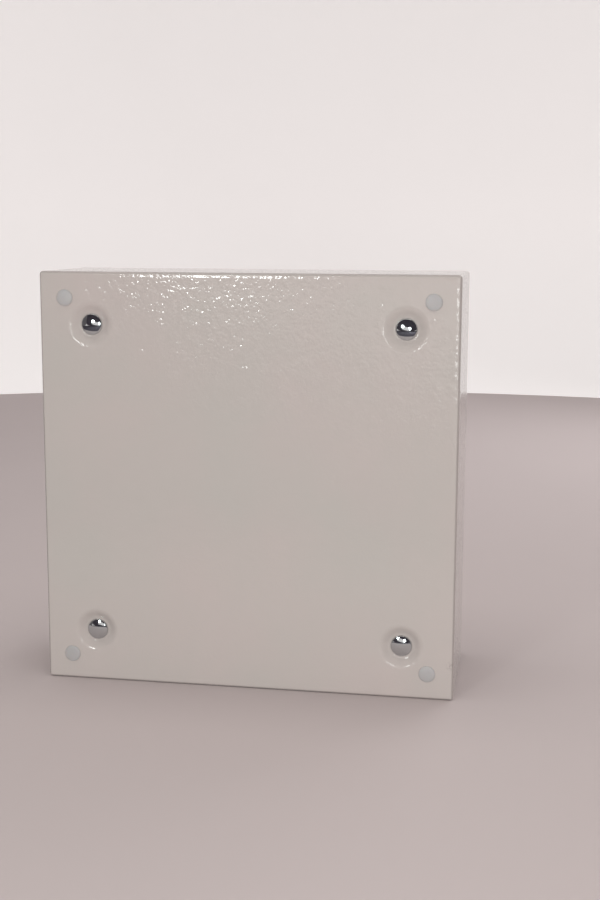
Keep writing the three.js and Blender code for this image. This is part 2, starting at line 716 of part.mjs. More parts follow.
function makeSwitch() {
  const shape = { half: SWITCH_HALF, step: 26, shoulder: 40, nose: 56 };
  const axis = [SWITCH_X, UPPER_RAIL_Z];
  let body = housing(shape, about(SWITCH_X, SWITCH_WIDTH / 2), UPPER_RAIL_Z);
  body = body.add(rod('y', 17, [RAIL_Y - 59, RAIL_Y - 55], axis, ROUND));
  body = body.subtract(rod('y', 4.5, [RAIL_Y - 60, RAIL_Y - 42], axis));
  for (const x of about(SWITCH_X, SWITCH_TERMINAL)) {
    for (const end of [-1, 1]) {
      body = body.subtract(terminal(x, UPPER_RAIL_Z, SWITCH_HALF, shape.shoulder, end));
    }
  }
  add('switch_body', body, 'housing');

  const disc = turned(
    [
      [0, RAIL_Y - 59.5],
      [16, RAIL_Y - 59.5],
      [15, RAIL_Y - 65],
      [0, RAIL_Y - 65],
    ],
    axis,
    ROUND,
  );
  const shaft = rod('y', 4, [RAIL_Y - 60, RAIL_Y - 44], axis);
  const grip = pushedX(
    [
      [RAIL_Y - 64, UPPER_RAIL_Z - 14],
      [RAIL_Y - 64, UPPER_RAIL_Z + 14],
      [RAIL_Y - 75, UPPER_RAIL_Z + 13],
      [RAIL_Y - 77, UPPER_RAIL_Z + 11],
      [RAIL_Y - 77, UPPER_RAIL_Z - 11],
      [RAIL_Y - 75, UPPER_RAIL_Z - 13],
    ],
    about(SWITCH_X, 4),
  );
  add('switch_handle', disc.add(shaft).add(grip), 'black');
}

function makeEarthBar() {
  const { x, length, y, z, size, pitch } = EARTH;
  let bar = box(about(x, length / 2), about(y, size / 2), about(z, size / 2));
  for (const side of [-1, 1]) {
    const post = [x + side * (length / 2 - 6), z];
    bar = bar.add(rod('y', 4, [y, PLATE_FRONT_Y - GAP], post, 8));
  }
  for (let i = -2; i <= 2; i += 1) {
    bar = bar.subtract(box(about(x + i * pitch, 3.4), about(y, 3.4), about(z, size)));
  }
  add('earth_bar', bar, 'brass');
}

// ---- Internal wires ----

function makeWire(name, route, finish) {
  const points = route.map(([x, y, z]) => new THREE.Vector3(x, y, z));
  const section = new THREE.Shape();
  const sides = 8;
  for (let i = 0; i < sides; i += 1) {
    const angle = (i * 2 * Math.PI) / sides;
    const corner = [WIRE_RADIUS * Math.cos(angle), WIRE_RADIUS * Math.sin(angle)];
    if (i === 0) section.moveTo(...corner);
    else section.lineTo(...corner);
  }
  const geometry = new THREE.ExtrudeGeometry(section, {
    steps: 2 * (route.length - 1) + 2,
    extrudePath: new THREE.CatmullRomCurve3(points),
  });
  const shape = solid(geometry);
  add(name, shape, finish);
}

function makeWires() {
  const feed = LOWER_RAIL_Z + FUSE_HALF + 14;
  const positive = (FUSE_XS[0] + FUSE_XS[1]) / 2;
  const negative = (FUSE_XS[2] + FUSE_XS[3]) / 2;
  const y = TERMINAL_Y;
  const toSwitch = UPPER_RAIL_Z - SWITCH_HALF;
  const toSurge = UPPER_RAIL_Z - SURGE_HALF;
  const outer = positive - FEED_OFFSET;
  const inner = negative + FEED_OFFSET;
  makeWire('wire_positive', [
    [outer, y, feed],
    [outer, y, feed + 13],
    [outer, y + 4, feed + 31],
    [outer, y, toSwitch - 6],
    [outer, y, toSwitch + 8],
  ], 'red');
  makeWire('wire_negative', [
    [inner, y, feed],
    [inner, y, feed + 13],
    [inner, y + 4, feed + 31],
    [inner, y, toSwitch - 6],
    [inner, y, toSwitch + 8],
  ], 'black');
  makeWire('wire_surge_positive', [
    [positive + FEED_OFFSET, y, feed],
    [positive + FEED_OFFSET, y, feed + 13],
    [positive + 13, y - 9, feed + 27],
    [positive + 36, y - 14, feed + 35],
    [0, y - 14, feed + 35],
    [SURGE_X - MODULE - 11, y - 9, feed + 37],
    [SURGE_X - MODULE, y, toSurge - 4],
    [SURGE_X - MODULE, y, toSurge + 8],
  ], 'red');
  makeWire('wire_surge_negative', [
    [negative - FEED_OFFSET, y, feed],
    [negative - FEED_OFFSET, y, feed + 10],
    [negative, y - 11, feed + 18],
    [negative + 21, y - 14, feed + 20],
    [SURGE_X - 20, y - 14, feed + 20],
    [SURGE_X + 10, y - 10, feed + 24],
    [SURGE_X + MODULE, y, feed + 38],
    [SURGE_X + MODULE, y, toSurge - 3],
    [SURGE_X + MODULE, y, toSurge + 8],
  ], 'black');
  const end = EARTH.x - 2 * EARTH.pitch;
  makeWire('wire_earth', [
    [SURGE_X, y, toSurge + 8],
    [SURGE_X, y, toSurge - 8],
    [SURGE_X + 3, EARTH.y - 3, toSurge - 40],
    [SURGE_X + 8, EARTH.y, toSurge - 80],
    [end - 3, EARTH.y, EARTH.z + 45],
    [end, EARTH.y, EARTH.z + 22],
    [end, EARTH.y, EARTH.z + 1],
  ], 'green');
}

makeCase();
makeBolts();
makePlateFasteners();
makeWallPlugs();
makeMountingPlate();
makeCableEntry();
makeDoor();
makeDoorGasket();
makeHinges();
makeLock();
makeRails();
FUSE_XS.forEach((x, i) => {
  makeFuseHolder(x, i + 1);
  makeFuseCarrier(x, i + 1);
  makeFuse(x, i + 1);
});
makeBusbar('busbar_positive', [FUSE_XS[0], FUSE_XS[1]]);
makeBusbar('busbar_negative', [FUSE_XS[2], FUSE_XS[3]]);
makeSurgeProtector();
makeSwitch();
makeEarthBar();
makeWires();

export default model;
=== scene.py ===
"""Looks of the dc combiner box: its powder-coated sheet steel, plated fasteners, seals and gear.

Lengths are in millimetres until a mesh is made, and in metres in the studio. +Z is up, the door
faces -Y and the rear panel +Y. Where a piece lies comes from the CAD frame.
"""

import json
import math

import bmesh
import bpy
from mathutils import Matrix, Vector

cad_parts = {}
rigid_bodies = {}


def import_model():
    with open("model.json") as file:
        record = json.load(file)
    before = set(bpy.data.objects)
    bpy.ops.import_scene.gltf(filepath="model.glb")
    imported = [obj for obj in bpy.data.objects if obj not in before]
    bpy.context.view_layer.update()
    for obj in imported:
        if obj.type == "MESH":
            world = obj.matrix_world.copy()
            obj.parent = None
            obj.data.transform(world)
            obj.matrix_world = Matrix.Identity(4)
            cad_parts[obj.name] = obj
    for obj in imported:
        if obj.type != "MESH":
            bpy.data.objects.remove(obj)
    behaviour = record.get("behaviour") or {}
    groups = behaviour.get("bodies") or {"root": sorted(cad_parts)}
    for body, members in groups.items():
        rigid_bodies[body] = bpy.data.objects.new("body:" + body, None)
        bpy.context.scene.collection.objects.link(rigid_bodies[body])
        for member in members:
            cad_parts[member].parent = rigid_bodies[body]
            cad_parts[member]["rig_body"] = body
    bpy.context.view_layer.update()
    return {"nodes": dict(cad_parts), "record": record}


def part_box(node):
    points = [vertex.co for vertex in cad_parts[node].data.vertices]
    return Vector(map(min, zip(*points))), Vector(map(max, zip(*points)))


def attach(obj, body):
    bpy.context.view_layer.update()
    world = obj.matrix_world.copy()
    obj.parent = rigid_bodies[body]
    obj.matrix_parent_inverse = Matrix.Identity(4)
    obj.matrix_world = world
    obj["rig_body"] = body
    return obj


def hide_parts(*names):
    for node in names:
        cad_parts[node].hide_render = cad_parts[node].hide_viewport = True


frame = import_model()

MM = 0.001

# ---- Driving dimensions, repeated from the CAD source ----

SHEET = 1.5  # thickness of case and door
BEND = 3.0  # outside radius of a fold
LIP_INSET = 18.5
LIP_HEIGHT = 11.0
BOLT_SPACING = 300.0
PLUG_SPACING = 350.0
DISH_RIM = 22.8  # radius where a dish leaves the panel
DISH_FLOOR = 10.9  # radius of its flat floor
DISH_DEPTH = 5.0
DISH_EASE = 1.25
HEAD_RADIUS = 10.25
NECK = 8.0  # width of the square under a bolt's head
NECK_ROOM = 0.3
BOLT_RADIUS = 4.0
BOLT_BORE = 4.4  # radius
BOLT_THREAD = 1.25  # pitch
NUT_FLATS = 13.0
PLUG_HOLE = 5.0  # radius
LOCK_HOLE = 9.9  # radius
ENTRY_X = 140.0
ENTRY_Y = (-35.0, 45.0)
MEMBRANES = 5
MEMBRANE_SPACING = 54.0
HINGES = {"lower": 80.0, "upper": 320.0}  # heights
FUSES = (1, 2, 3, 4)
CARTRIDGES = (1, 2, 3)

SMOOTH = 72  # sides of a large round face
SMALL = 32  # sides of a small one


def node_box(node):
    """A CAD node's lowest and highest corners, in millimetres."""
    low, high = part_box(node)
    return low / MM, high / MM


def node_middle(node):
    low, high = node_box(node)
    return (low + high) / 2


CASE_LOW, CASE_HIGH = node_box("case")
REAR_Y = CASE_HIGH.y
SHOULDER_Y = CASE_LOW.y + LIP_HEIGHT
MIDDLE_Z = (CASE_LOW.z + CASE_HIGH.z) / 2
HALF = (CASE_HIGH.x - CASE_LOW.x) / 2
PANEL_MIDDLE = Vector((0, REAR_Y, MIDDLE_Z))


# ---- Material kit ----


class Shader:
    """A material of one Principled BSDF, with short calls for the nodes that feed it."""

    def __init__(self, name, roughness=0.5, metallic=0.0, **sockets):
        self.material = bpy.data.materials.new(name)
        self.material.use_nodes = True
        self.tree = self.material.node_tree
        self.bsdf = self.tree.nodes["Principled BSDF"]
        self.bsdf.inputs["Roughness"].default_value = roughness
        self.bsdf.inputs["Metallic"].default_value = metallic
        for socket, value in sockets.items():
            self.bsdf.inputs[socket.replace("_", " ")].default_value = value
        self.place = self.node("ShaderNodeTexCoord").outputs["Object"]
        self.relief = {}

    def node(self, kind, **settings):
        made = self.tree.nodes.new(kind)
        for key, value in settings.items():
            setattr(made, key, value)
        return made

    def join(self, source, socket):
        """Feeds a socket from a node's output, or sets it to a value."""
        if hasattr(source, "is_linked"):
            self.tree.links.new(source, socket)
        else:
            socket.default_value = source

    def join_colour(self, source, socket):
        self.join(source if hasattr(source, "is_linked") else (*source, 1), socket)

    def noise(self, size, detail, rough=0.5, stretch=(1, 1, 1), seed=0.0):
        """Noise with features about size millimetres across, from 0 to 1."""
        mapping = self.node("ShaderNodeMapping")
        self.join(self.place, mapping.inputs["Vector"])
        mapping.inputs["Scale"].default_value = stretch
        mapping.inputs["Location"].default_value = (seed, seed * 0.7, seed * 1.3)
        texture = self.node("ShaderNodeTexNoise")
        self.join(mapping.outputs["Vector"], texture.inputs["Vector"])
        texture.inputs["Scale"].default_value = 1 / (size * MM)
        texture.inputs["Detail"].default_value = detail
        texture.inputs["Roughness"].default_value = rough
        return texture.outputs["Fac"]

    def voronoi(self, size, feature="F1"):
        texture = self.node("ShaderNodeTexVoronoi", feature=feature)
        self.join(self.place, texture.inputs["Vector"])
        texture.inputs["Scale"].default_value = 1 / (size * MM)
        return texture

    def pebbles(self, size):
        """Low round domes about size millimetres across, from 0 between them to 1 on top."""
        texture = self.voronoi(size, "SMOOTH_F1")
        texture.inputs["Smoothness"].default_value = 0.35
        reach = texture.outputs["Distance"]
        return self.math("SUBTRACT", 1, self.math("MULTIPLY", reach, reach))

    def cells(self, size, output="Distance"):
        """Cells about size millimetres across: how far to a cell's middle, or its own Color."""
        return self.voronoi(size).outputs[output]

    def remap(self, value, low, high, to_low=0.0, to_high=1.0):
        """Takes the range low to high, which may run downward, to another, and stops there."""
        made = self.node("ShaderNodeMapRange")
        made.clamp = True
        self.join(value, made.inputs["Value"])
        for socket, number in zip(("From Min", "From Max", "To Min", "To Max"),
                                  (low, high, to_low, to_high)):
            made.inputs[socket].default_value = number
        return made.outputs["Result"]

    def math(self, operation, a, b):
        made = self.node("ShaderNodeMath", operation=operation)
        self.join(a, made.inputs[0])
        self.join(b, made.inputs[1])
        return made.outputs["Value"]

    def mix(self, amount, a, b):
        """Colour a where amount is 0 and colour b where it is 1."""
        made = self.node("ShaderNodeMix", data_type="RGBA", blend_type="MIX")
        factor, colour_a, colour_b, result = 0, 6, 7, 2
        self.join(amount, made.inputs[factor])
        self.join_colour(a, made.inputs[colour_a])
        self.join_colour(b, made.inputs[colour_b])
        return made.outputs[result]

    def bump(self, height, depth, layer="Normal"):
        """Adds relief to a layer: a height of 1 stands depth millimetres proud."""
        made = self.node("ShaderNodeBump")
        made.inputs["Distance"].default_value = depth * MM
        self.join(height, made.inputs["Height"])
        if layer in self.relief:
            self.join(self.relief[layer], made.inputs["Normal"])
        self.relief[layer] = made.outputs["Normal"]
        self.join(self.relief[layer], self.bsdf.inputs[layer])

    def edges(self):
        """1 on a convex edge and 0 elsewhere, from the mesh's own corners."""
        geometry = self.node("ShaderNodeNewGeometry")
        return self.remap(geometry.outputs["Pointiness"], 0.51, 0.58)

    def panel_distances(self):
        """How far a point is inside the rear panel's outline, and below its face, in mm."""
        parts = self.node("ShaderNodeSeparateXYZ")
        self.join(self.place, parts.inputs["Vector"])
        across = self.math("ABSOLUTE", parts.outputs["X"], 0)
        up = self.math("ABSOLUTE", self.math("SUBTRACT", parts.outputs["Z"], MIDDLE_Z * MM), 0)
        inset = self.math("SUBTRACT", HALF * MM, self.math("MAXIMUM", across, up))
        below = self.math("SUBTRACT", REAR_Y * MM, parts.outputs["Y"])
        return self.math("DIVIDE", inset, MM), self.math("DIVIDE", below, MM)

    def spot(self, centre, radius):
        """1 at a point of the object, in millimetres, fading to 0 at radius."""
        distance = self.node("ShaderNodeVectorMath", operation="DISTANCE")
        self.join(self.place, distance.inputs[0])
        distance.inputs[1].default_value = Vector(centre) * MM
        return self.remap(distance.outputs["Value"], radius * MM, 0)

    def colour(self, value):
        self.join_colour(value, self.bsdf.inputs["Base Color"])

    def roughness(self, value):
        self.join(value, self.bsdf.inputs["Roughness"])


def darker(colour, share):
    return tuple(channel * share for channel in colour)


def powder_coat(name, scuffs=()):
    """Pebble-grey powder coat: a clear glossy skin with orange peel over an even body colour.

    The coat gathers in a low bead just inside the rear panel's edges, and the rear panel's
    bends carry painted shade: a darkening that stands in for their shading and dark reflection.
    """
    shader = Shader(name, Specular_IOR_Level=0.0, Coat_Weight=1.0, Coat_Roughness=0.09)
    base = (0.45, 0.41, 0.392)
    drift = shader.noise(140, detail=3, rough=0.55)
    grain = shader.noise(0.9, detail=2)
    tone = shader.mix(shader.remap(drift, 0.3, 0.7), (0.438, 0.412, 0.39), (0.462, 0.411, 0.395))
    tone = shader.mix(shader.remap(grain, 0.62, 0.8, 0, 0.1), tone, darker(base, 0.85))
    inset, below = shader.panel_distances()
    # Painted shade: darkens the rear panel's bends, standing in for their shading and dark
    # reflection.
    painted_bend_shade = shader.math("MULTIPLY", shader.remap(inset, 2.4, 0.9), shader.remap(below, 2.4, 0.9))
    tone = shader.mix(shader.math("MULTIPLY", painted_bend_shade, 0.6), tone, darker(base, 0.45))
    scratch = shader.remap(shader.noise(2.2, detail=4, seed=3.1), 0.45, 0.6)
    for centre, radius in scuffs:
        worn = shader.math("MULTIPLY", shader.spot(centre, radius), scratch)
        tone = shader.mix(shader.math("MULTIPLY", worn, 0.6), tone, (0.15, 0.14, 0.13))
    shader.colour(tone)
    shader.roughness(shader.remap(shader.noise(18, detail=3, seed=1.7), 0.3, 0.7, 0.4, 0.55))
    swell = shader.remap(shader.noise(9, detail=1, seed=5.0), 0.3, 0.7, 0.25, 1.15)
    peel = shader.math("MULTIPLY", shader.pebbles(2.9), swell)
    bead = shader.math("MULTIPLY", shader.remap(inset, 3, 4.8), shader.remap(inset, 14, 4.8))
    shader.bump(peel, 0.035)
    shader.bump(peel, 0.2, "Coat Normal")
    shader.bump(bead, 0.09, "Coat Normal")
    return shader.material


def chrome():
    """Bright plating, with faint polishing marks."""
    shader = Shader("chrome", metallic=1.0)
    haze = shader.noise(5, detail=4, seed=2.0)
    shader.colour(shader.mix(haze, (0.56, 0.59, 0.6), (0.63, 0.66, 0.67)))
    shader.roughness(shader.remap(haze, 0.35, 0.75, 0.035, 0.09))
    shader.bump(shader.noise(1.2, detail=3, stretch=(1, 1, 5)), 0.0006)
    return shader.material


def zinc():
    """Bright zinc plate with a bluish passivation and dull, handled edges."""
    shader = Shader("zinc", metallic=1.0)
    cloud = shader.noise(6, detail=4)
    tone = shader.mix(shader.remap(cloud, 0.35, 0.65), (0.5, 0.52, 0.55), (0.62, 0.62, 0.61))
    stain = shader.remap(shader.noise(11, detail=3, seed=4.0), 0.58, 0.8, 0, 0.4)
    tone = shader.mix(stain, tone, (0.5, 0.44, 0.33))
    tone = shader.mix(shader.math("MULTIPLY", shader.edges(), 0.5), tone, (0.78, 0.78, 0.78))
    shader.colour(tone)
    shader.roughness(shader.remap(cloud, 0.3, 0.7, 0.28, 0.42))
    shader.bump(shader.noise(0.6, detail=3), 0.008)
    return shader.material


def galvanised():
    """Galvanised sheet: overlapping zinc spangles, each with its own sheen."""
    shader = Shader("galvanised_steel", metallic=1.0)
    spangle = shader.node("ShaderNodeSeparateColor")
    shader.join(shader.cells(9, output="Color"), spangle.inputs["Color"])
    flake = spangle.outputs["Red"]
    streak = shader.noise(3, detail=4, stretch=(1, 1, 0.15), seed=1.0)
    tone = shader.mix(flake, (0.47, 0.48, 0.5), (0.6, 0.61, 0.62))
    tone = shader.mix(shader.remap(streak, 0.5, 0.75, 0, 0.3), tone, (0.4, 0.41, 0.42))
    tone = shader.mix(shader.math("MULTIPLY", shader.edges(), 0.4), tone, (0.75, 0.75, 0.75))
    shader.colour(tone)
    shader.roughness(shader.remap(spangle.outputs["Green"], 0, 1, 0.32, 0.5))
    shader.bump(shader.noise(0.8, detail=3), 0.01)
    return shader.material


def foam():
    """Foamed seal, pitted with open pores."""
    shader = Shader("foam", roughness=0.95)
    pores = shader.cells(0.7)
    drift = shader.noise(8, detail=3)
    shader.colour(shader.mix(drift, (0.018, 0.018, 0.019), (0.045, 0.045, 0.047)))
    shader.roughness(shader.remap(pores, 0, 0.6, 1.0, 0.85))
    shader.bump(pores, 0.16)
    return shader.material


def rubber():
    """Moulded rubber with a pale bloom in patches."""
    shader = Shader("entry_rubber", roughness=0.75)
    bloom = shader.noise(12, detail=4)
    shader.colour(shader.mix(bloom, (0.032, 0.033, 0.035), (0.075, 0.075, 0.076)))
    shader.roughness(shader.remap(bloom, 0.3, 0.7, 0.62, 0.85))
    shader.bump(shader.noise(0.5, detail=3), 0.02)
    return shader.material


def bare_metal(name, bright, tarnished, grain):
    """Drawn bar: fine lines along grain, and tarnish that handling has left uneven."""
    shader = Shader(name, metallic=1.0)
    tarnish = shader.remap(shader.noise(9, detail=4), 0.35, 0.7)
    lines = shader.noise(0.9, detail=3, stretch=grain)
    tone = shader.mix(tarnish, bright, tarnished)
    tone = shader.mix(shader.math("MULTIPLY", shader.edges(), 0.5), tone, darker(bright, 1.15))
    shader.colour(tone)
    shader.roughness(shader.remap(lines, 0.3, 0.7, 0.24, 0.42))
    shader.bump(lines, 0.012)
    return shader.material


def moulded(name, base, roughness=0.5, texture=0.5, glow=0.0):
    """Moulded plastic with a spark-eroded skin, rubbed smoother on its edges."""
    shader = Shader(name, roughness=roughness, Subsurface_Weight=glow)
    shader.bsdf.inputs["Subsurface Scale"].default_value = MM
    drift = shader.noise(25, detail=3)
    tone = shader.mix(shader.remap(drift, 0.3, 0.7), darker(base, 0.96), darker(base, 1.04))
    tone = shader.mix(shader.math("MULTIPLY", shader.edges(), 0.3), tone, darker(base, 1.2))
    shader.colour(tone)
    spark = shader.noise(texture, detail=3, rough=0.6)
    shader.roughness(shader.remap(spark, 0.3, 0.7, roughness - 0.06, roughness + 0.08))
    shader.bump(spark, 0.02)
    return shader.material


def ceramic():
    """Glazed ceramic with a few dark specks."""
    shader = Shader("ceramic", roughness=0.2, Coat_Weight=0.4)
    speck = shader.remap(shader.noise(0.8, detail=2), 0.68, 0.8)
    shader.colour(shader.mix(speck, (0.78, 0.74, 0.66), (0.5, 0.44, 0.36)))
    shader.roughness(shader.remap(shader.noise(4, detail=3), 0.3, 0.7, 0.16, 0.3))
    shader.bump(shader.noise(3, detail=2), 0.02)
    return shader.material


def sheath(name, base):
    """Extruded cable sheath: soft gloss with faint draw lines and scuffs."""
    shader = Shader(name, roughness=0.35)
    rub = shader.remap(shader.noise(5, detail=4), 0.55, 0.8, 0, 0.35)
    shader.colour(shader.mix(rub, base, tuple(channel * 0.8 + 0.06 for channel in base)))
    shader.roughness(shader.remap(shader.noise(2, detail=3), 0.3, 0.7, 0.3, 0.48))
    shader.bump(shader.noise(1.1, detail=2), 0.015)
    return shader.material


SCUFF = (Vector((CASE_LOW.x + 3, REAR_Y, 34)), 5)
MATERIALS = {
    "case_paint": powder_coat("case_paint", [SCUFF]),
    "door_paint": powder_coat("door_paint"),
    "chrome": chrome(),
    "plug_plastic": moulded("plug_plastic", (0.375, 0.366, 0.368), 0.42, 0.8, glow=0.08),
    "zinc": zinc(),
    "galvanised_steel": galvanised(),
    "foam": foam(),
    "entry_rubber": rubber(),
    "copper": bare_metal("copper", (0.72, 0.36, 0.22), (0.45, 0.2, 0.12), (1, 6, 1)),
    "brass": bare_metal("brass", (0.7, 0.52, 0.24), (0.5, 0.36, 0.16), (0.2, 4, 4)),
    "housing_plastic": moulded("housing_plastic", (0.62, 0.61, 0.57)),
    "carrier_plastic": moulded("carrier_plastic", (0.25, 0.255, 0.265)),
    "cartridge_plastic": moulded("cartridge_plastic", (0.3, 0.05, 0.04), 0.45),
    "ceramic": ceramic(),
    "handle_plastic": moulded("handle_plastic", (0.03, 0.03, 0.032), 0.42),
    "wire_red": sheath("wire_red", (0.4, 0.02, 0.015)),
    "wire_black": sheath("wire_black", (0.018, 0.018, 0.018)),
    "wire_green": sheath("wire_green", (0.1, 0.3, 0.03)),
}


# ---- Mesh kit ----


def block(low, high, radius=0.0, segments=4):
    """A box between two corners, with every edge rounded."""
    low, high = Vector(low), Vector(high)
    mesh = bmesh.new()
    bmesh.ops.create_cube(mesh, size=1)
    size = high - low
    bmesh.ops.transform(
        mesh,
        matrix=Matrix.Translation((low + high) / 2) @ Matrix.Diagonal((*size, 1)),
        verts=mesh.verts,
    )
    if radius > 0:
        bmesh.ops.bevel(mesh, geom=mesh.edges[:], offset=radius, segments=segments,
                        profile=0.5, affect="EDGES")
    return mesh


def square_about(x, z, half, span, radius=0.0):
    """A square bar along Y through (x, z), between the two y of span."""
    return block((x - half, span[0], z - half), (x + half, span[1], z + half), radius)


def framed(axis):
    """The matrix that turns a solid made about Z, to lie about the named axis."""
    if axis == "x":
        return Matrix.Rotation(math.pi / 2, 4, "Y")
    if axis == "y":
        return Matrix.Rotation(-math.pi / 2, 4, "X")
    return Matrix.Identity(4)


def circle(mesh, radius, height, sides):
    angles = [2 * math.pi * i / sides for i in range(sides)]
    return [mesh.verts.new((radius * math.cos(a), radius * math.sin(a), height)) for a in angles]


def band(mesh, near, far):
    """Faces all round between two rings that have as many corners."""
    for i in range(len(near)):
        j = (i + 1) % len(near)
        mesh.faces.new((near[i], near[j], far[j], far[i]))


def turned(profile, axis, centre, sides=SMOOTH):
    """A profile of (radius, height) points turned about an axis through centre. It starts and
    ends on the axis, or else is a closed ring."""
    mesh = bmesh.new()
    solid = profile[0][0] == 0
    inner = profile[1:-1] if solid else profile
    rings = [circle(mesh, radius, height, sides) for radius, height in inner]
    pairs = list(zip(rings, rings[1:]))
    if not solid:
        pairs.append((rings[-1], rings[0]))
    for low, high in pairs:
        band(mesh, low, high)
    if solid:
        for ring, (_, height) in ((rings[0], profile[0]), (rings[-1], profile[-1])):
            if abs(height - ring[0].co.z) < 1e-6:
                mesh.faces.new(ring)
                continue
            tip = mesh.verts.new((0, 0, height))
            for i in range(sides):
                mesh.faces.new((ring[i], ring[(i + 1) % sides], tip))
    turn = Matrix.Translation(Vector(centre)) @ framed(axis)
    bmesh.ops.transform(mesh, matrix=turn, verts=mesh.verts)
    bmesh.ops.recalc_face_normals(mesh, faces=mesh.faces)
    return mesh


def rod(axis, radius, low, high, centre, sides, ease=0.0):
    """A cylinder along an axis through centre, from low to high, with chamfered ends."""
    profile = [(0, low), (radius - ease, low)]
    if ease > 0:
        profile += [(radius, low + ease), (radius, high - ease)]
    profile += [(radius - ease, high), (0, high)]
    return turned(profile, axis, centre, sides)


def hexagon(axis, across, low, high, centre):
    """A hexagonal bar, with its corners turned off at both ends as on a nut."""
    corner = across / 2 / math.cos(math.pi / 6)
    bar = rod(axis, corner, low, high, centre, 6)
    ease = (corner - across / 2) * 1.2
    cone = rod(axis, corner + 0.02, low, high, centre, SMOOTH, ease)
    return carve(bar, [("INTERSECT", cone)])


def rounded_outline(half_x, half_z, radius, steps=6):
    """The (x, z) points of a rounded rectangle about the panel's middle."""
    points = []
    for turn, (sx, sz) in enumerate(((1, 1), (-1, 1), (-1, -1), (1, -1))):
        for i in range(steps + 1):
            angle = (turn + i / steps) * math.pi / 2
            points.append((sx * (half_x - radius) + radius * math.cos(angle),
                           MIDDLE_Z + sz * (half_z - radius) + radius * math.sin(angle)))
    return points


def extruded(points, axis, low, high):
    """An outline pushed along an axis. Its points are (x, z) along Y, or (y, z) along X."""
    mesh = bmesh.new()

    def at(a, b, depth):
        return (depth, a, b) if axis == "x" else (a, depth, b)

    near = [mesh.verts.new(at(a, b, low)) for a, b in points]
    far = [mesh.verts.new(at(a, b, high)) for a, b in points]
    band(mesh, near, far)
    mesh.faces.new(near)
    mesh.faces.new(far)
    bmesh.ops.recalc_face_normals(mesh, faces=mesh.faces)
    return mesh


def joined(*meshes):
    """Several meshes as one, with no boolean. They don't touch."""
    whole = bmesh.new()
    for mesh in meshes:
        spare = bpy.data.meshes.new("spare")
        mesh.to_mesh(spare)
        mesh.free()
        whole.from_mesh(spare)
        bpy.data.meshes.remove(spare)
    return whole


def placed(name, mesh):
    """An object in the scene with this mesh, which is used up."""
    data = bpy.data.meshes.new(name)
    mesh.to_mesh(data)
    mesh.free()
    made = bpy.data.objects.new(name, data)
    bpy.context.scene.collection.objects.link(made)
    return made


def carve(mesh, cuts):
    """Applies booleans in turn. cuts are (operation, mesh) pairs, in millimetres."""
    body = placed("body", mesh)
    tools = [(operation, placed("tool", tool)) for operation, tool in cuts]
    for operation, tool in tools:
        modifier = body.modifiers.new("cut", "BOOLEAN")
        modifier.operation = operation
        modifier.solver = "EXACT"
        modifier.object = tool
    graph = bpy.context.evaluated_depsgraph_get()
    result = bmesh.new()
    result.from_mesh(body.evaluated_get(graph).to_mesh())
    for item in [body, *(tool for _, tool in tools)]:
        data = item.data
        bpy.data.objects.remove(item)
        bpy.data.meshes.remove(data)
    return result


def piece(name, mesh, slot, body, replaces=(), sharp=32, weld=0.004):
    """Makes an object of a mesh in millimetres, with its finish, and lets it ride on a body.

    Edges over sharp degrees stay hard, and corners closer than weld become one.
    """
    if weld:
        bmesh.ops.remove_doubles(mesh, verts=mesh.verts, dist=weld)
        bmesh.ops.dissolve_degenerate(mesh, edges=mesh.edges, dist=weld)
    bmesh.ops.scale(mesh, vec=(MM, MM, MM), verts=mesh.verts)
    made = placed(name, mesh)
    made.data.shade_smooth()
    made.data.set_sharp_from_angle(angle=math.radians(sharp))
    made.data.materials.append(MATERIALS[slot])
    weighted = made.modifiers.new("even_normals", "WEIGHTED_NORMAL")
    weighted.keep_sharp = True
    weighted.weight = 80
    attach(made, body)
    if replaces:
        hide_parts(*replaces)
    return made


def node_mesh(node):
    """A copy of a CAD node's mesh in millimetres, with its split corners joined."""
    mesh = bmesh.new()
    mesh.from_mesh(frame["nodes"][node].data)
    bmesh.ops.scale(mesh, vec=(1 / MM, 1 / MM, 1 / MM), verts=mesh.verts)
    bmesh.ops.remove_doubles(mesh, verts=mesh.verts, dist=0.002)
    return mesh


def eased(node, slot, body, radius, segments=3):
    """A finer copy of a CAD node: flat faces made whole, and each hard edge rounded."""
    mesh = node_mesh(node)
    bmesh.ops.dissolve_limit(mesh, angle_limit=math.radians(0.5), verts=mesh.verts,
                             edges=mesh.edges)
    hard = [edge for edge in mesh.edges
            if len(edge.link_faces) == 2 and edge.calc_face_angle(0) > math.radians(33)]
    bmesh.ops.bevel(mesh, geom=hard, offset=radius, segments=segments, profile=0.5,
                    affect="EDGES", clamp_overlap=True)
    return piece(f"{node}_moulding", mesh, slot, body, [node])


# ---- Case ----


def four_places(spacing):
    """The corners of a square on the rear panel: low and high x below, then above, as (x, z)."""
    half = spacing / 2
    return [(x, z) for z in (MIDDLE_Z - half, MIDDLE_Z + half) for x in (-half, half)]


BOLT_PLACES = four_places(BOLT_SPACING)
PLUG_PLACES = four_places(PLUG_SPACING)


def dish_wall(outset, shift):
    """The pressed wall of a recess, from its rim to its flat floor, as (radius, y) points."""
    steps = 28
    wall = []
    for i in range(steps + 1):
        t = i / steps
        radius = DISH_RIM + outset + t * (DISH_FLOOR - DISH_RIM)
        drop = DISH_DEPTH * (1 - math.cos(math.pi * t ** DISH_EASE)) / 2
        wall.append((radius, REAR_Y - shift - drop))
    return wall


def dish_solid(place, outset, shift, top):
    """What a recess's wall encloses, up to top."""
    wall = dish_wall(outset, shift)
    profile = [(0, top), (wall[0][0], top), *wall, (0, wall[-1][1])]
    return turned(profile, "y", (place[0], 0, place[1]), 96)


